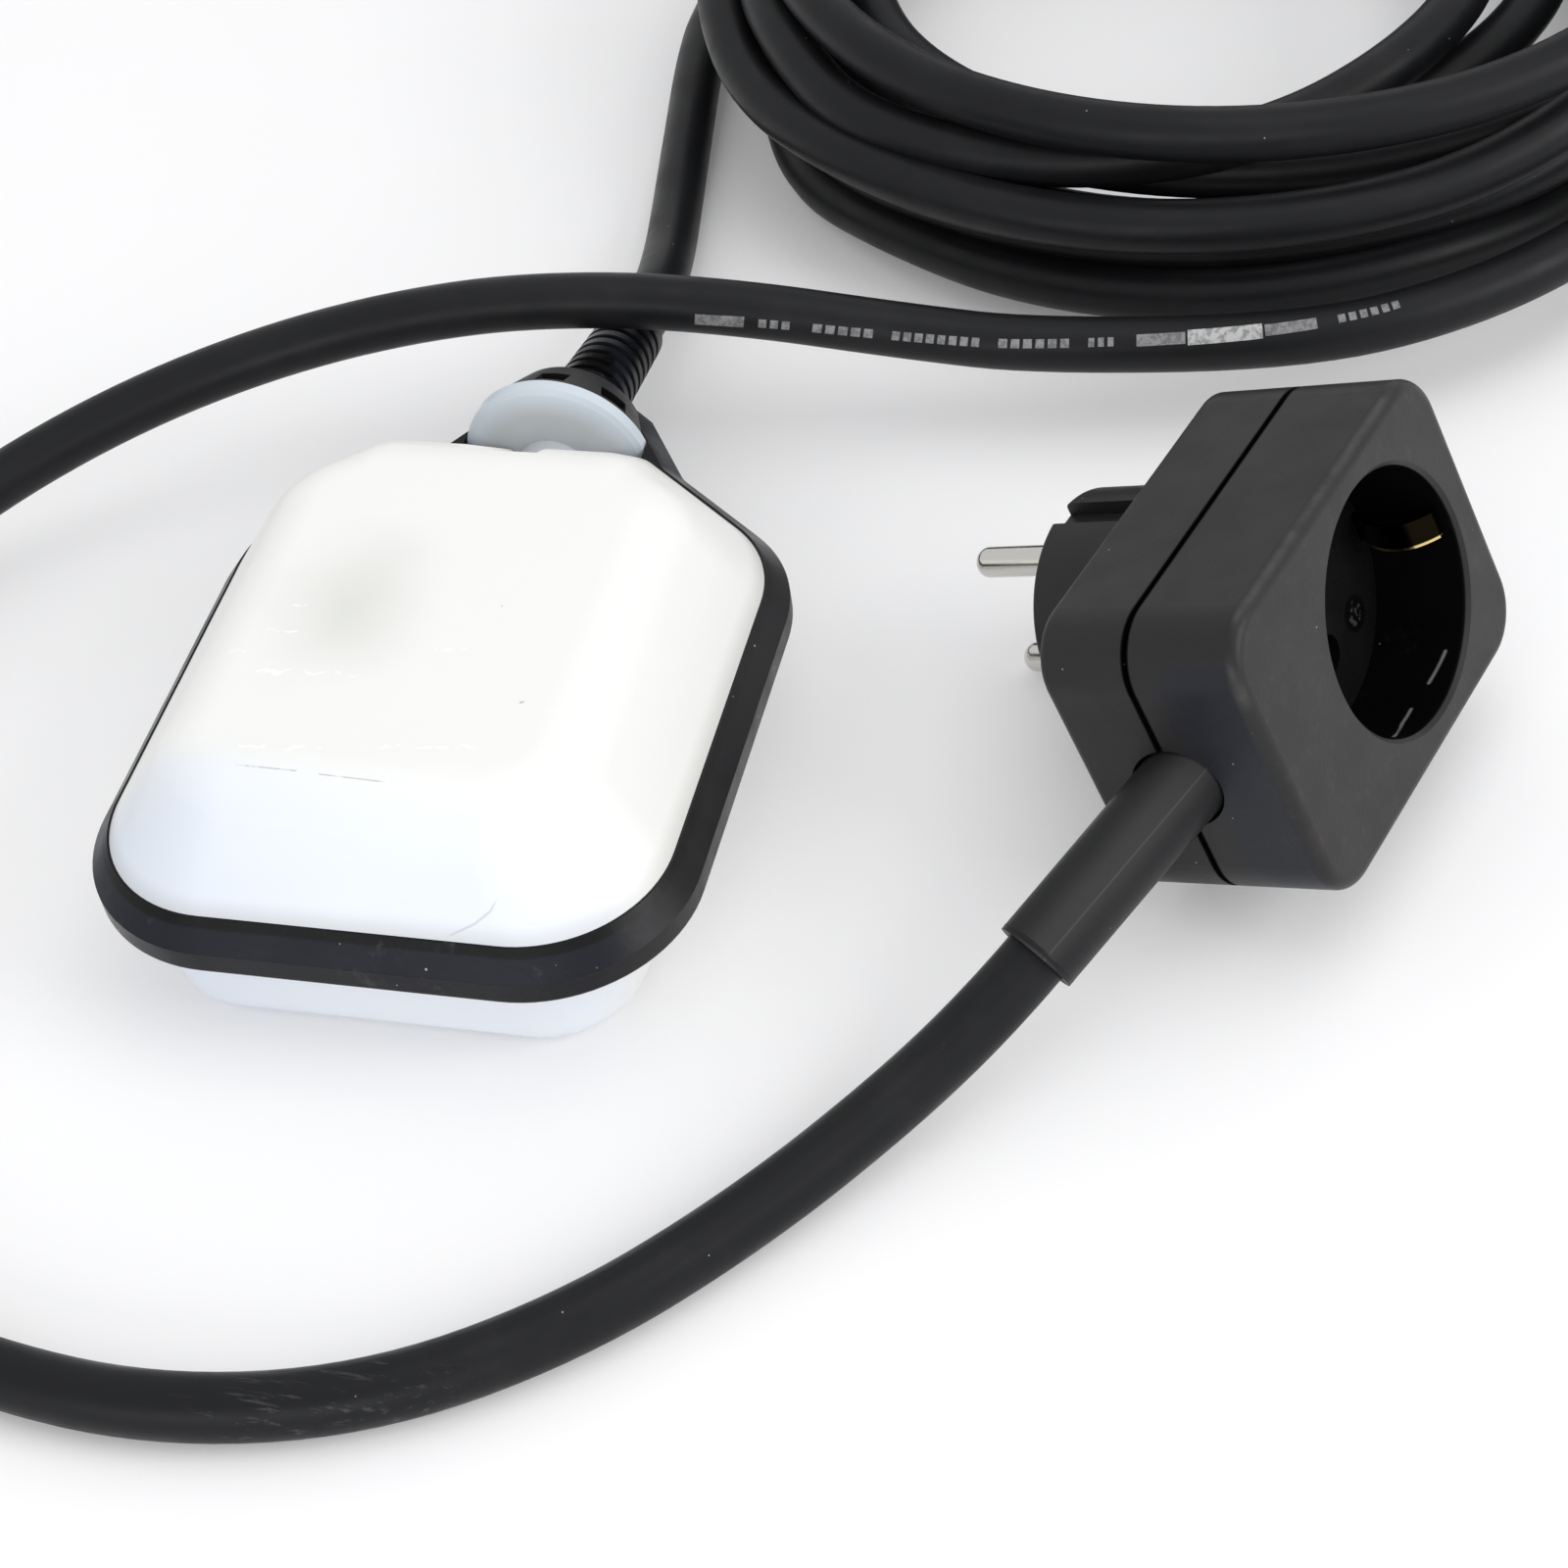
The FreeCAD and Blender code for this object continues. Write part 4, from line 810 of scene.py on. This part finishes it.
def print_place(points, distance, turn):
    """Point on the cable's surface, a distance along it and a turn round it."""
    steps = np.linalg.norm(np.diff(points, axis=0), axis=1)
    travelled = np.concatenate([[0.0], np.cumsum(steps)]) / MM
    number = int(np.searchsorted(travelled, distance)) - 1
    number = min(max(number, 0), len(steps) - 1)
    share = (distance - travelled[number]) / (steps[number] / MM)
    first, last = Vector(points[number]), Vector(points[number + 1])
    way = (last - first).normalized()
    faces = PRINT_FACES - way * PRINT_FACES.dot(way)
    faces.normalize()
    side = way.cross(faces)
    outward = faces * math.cos(turn) + side * math.sin(turn)
    return first.lerp(last, share) + outward * (CABLE_D / 2 + PRINT_LIFT) * MM


def print_patch(points, start, end, half, faces, vertices):
    """Curved patch on the cable between two distances along it."""
    steps = max(int((end - start) / PRINT_STEP), 1)
    for i in range(steps + 1):
        distance = start + (end - start) * i / steps
        middle = PRINT_TURN + PRINT_TWIST * distance
        for j in range(PRINT_ROWS + 1):
            turn = middle + (2 * j / PRINT_ROWS - 1) * half / (CABLE_D / 2)
            vertices.append(print_place(points, distance, turn))
    row = PRINT_ROWS + 1
    first = len(vertices) - (steps + 1) * row
    for i in range(steps):
        for j in range(PRINT_ROWS):
            a = first + i * row + j
            faces.append((a, a + 1, a + row + 1, a + row))


def add_print(name, marks, half, points, material):
    vertices, faces = [], []
    for start, end, count in marks:
        pitch = (end - start) / count
        for i in range(count):
            last = start + pitch * (i + 1) - (BLOCK_GAP if count > 1 else 0.0)
            tall = half if count == 1 else BLOCK_HALF
            print_patch(points, start + pitch * i, last, tall, faces, vertices)
    mesh = bpy.data.meshes.new(name)
    mesh.from_pydata([v[:] for v in vertices], [], faces)
    mesh.materials.append(material)
    piece = bpy.data.objects.new(name, mesh)
    scene.collection.objects.link(piece)
    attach(piece, "float")
    return piece


def print_material(name, colour, second):
    """Worn ink that lets the rubber through in places."""
    material, tree, principled, at, base = plain_surface(name, colour, second, 0.5, 0.05, 0.01)
    worn = ramp(tree, noise(tree, at, 900.0, 4.0, 0.7), 0.42, 0.60, 0.0, 0.55)
    base = mixed(tree, worn, base, (0.03, 0.03, 0.03))
    tree.links.new(base, principled.inputs["Base Color"])
    return material


def make_print(line):
    """Grey bars and blocks along the cable where it crosses in front of the coil."""
    back = line[::-1]
    start = 0
    while back[start][1] < PRINT_FROM_Y * MM or back[start][0] < PRINT_FROM_X * MM:
        start += 1
    points = back[start:]
    ink = print_material("print_ink", (0.20, 0.20, 0.205), (0.26, 0.26, 0.265))
    pale = print_material("print_label", (0.42, 0.42, 0.42), (0.52, 0.52, 0.52))
    marks = add_print("cable_print", PRINT_MARKS, BAR_HALF, points, ink)
    label = add_print("cable_label", [(*PRINT_LABEL, 1)], LABEL_HALF, points, pale)
    return [marks, label]


def make_floor():
    mesh = bpy.data.meshes.new("floor")
    corners = [(x * FLOOR_HALF, y * FLOOR_HALF, 0)
               for x, y in ((-1, -1), (1, -1), (1, 1), (-1, 1))]
    mesh.from_pydata(corners, [], [(0, 1, 2, 3)])
    floor = bpy.data.objects.new("floor", mesh)
    floor.location.z = -FLOOR_BELOW * MM
    scene.collection.objects.link(floor)
    material, _, principled, _, _ = plain_surface(
        "paper", (0.835, 0.830, 0.825), (0.835, 0.835, 0.85), 0.7, 0.05, 0.02, shine=0.2)
    principled.inputs["Emission Color"].default_value = (1.0, 1.0, 1.0, 1.0)
    principled.inputs["Emission Strength"].default_value = 0.12
    mesh.materials.append(material)


def make_world():
    world = bpy.data.worlds.new("world")
    scene.world = world
    world.use_nodes = True
    tree = world.node_tree
    tree.nodes.clear()
    paths = tree.nodes.new("ShaderNodeLightPath")
    ambient = tree.nodes.new("ShaderNodeBackground")
    ambient.inputs["Color"].default_value = (0.985, 0.99, 1.0, 1.0)
    ambient.inputs["Strength"].default_value = 0.80
    white = tree.nodes.new("ShaderNodeBackground")
    white.inputs["Color"].default_value = (1.0, 1.0, 1.0, 1.0)
    white.inputs["Strength"].default_value = 1.0
    mix = tree.nodes.new("ShaderNodeMixShader")
    out = tree.nodes.new("ShaderNodeOutputWorld")
    tree.links.new(paths.outputs["Is Camera Ray"], mix.inputs["Fac"])
    tree.links.new(ambient.outputs["Background"], mix.inputs[1])
    tree.links.new(white.outputs["Background"], mix.inputs[2])
    tree.links.new(mix.outputs["Shader"], out.inputs["Surface"])


def add_lamp(name, at, towards, size, power):
    data = bpy.data.lights.new(name, "AREA")
    data.shape = "RECTANGLE"
    data.size, data.size_y = size
    data.energy = power
    lamp = bpy.data.objects.new(name, data)
    lamp.location = at
    lamp.rotation_mode = "QUATERNION"
    lamp.rotation_quaternion = (Vector(towards) - Vector(at)).to_track_quat("-Z", "Y")
    scene.collection.objects.link(lamp)


def light_scene():
    middle = (0.03, 0.03, 0.0)
    add_lamp("key", (0.30, 0.1, 1.2), middle, (0.9, 0.9), 2.0)
    add_lamp("front", (0.0, -1.3, 0.45), middle, (1.4, 0.5), 4.5)
    add_lamp("right", (1.2, -0.1, 0.7), middle, (0.7, 0.7), 6.0)


place_camera()
cable, route = make_cable()
line = centreline(cable)
made = paint_nodes()
cable.data.materials.append(made["cable_rubber"])
printed = make_print(line)
printed.append(make_sleeve_lip(made["cable_rubber"]))
make_floor()
make_world()
light_scene()
scene.view_settings.view_transform = "Standard"

bpy.context.view_layer.update()
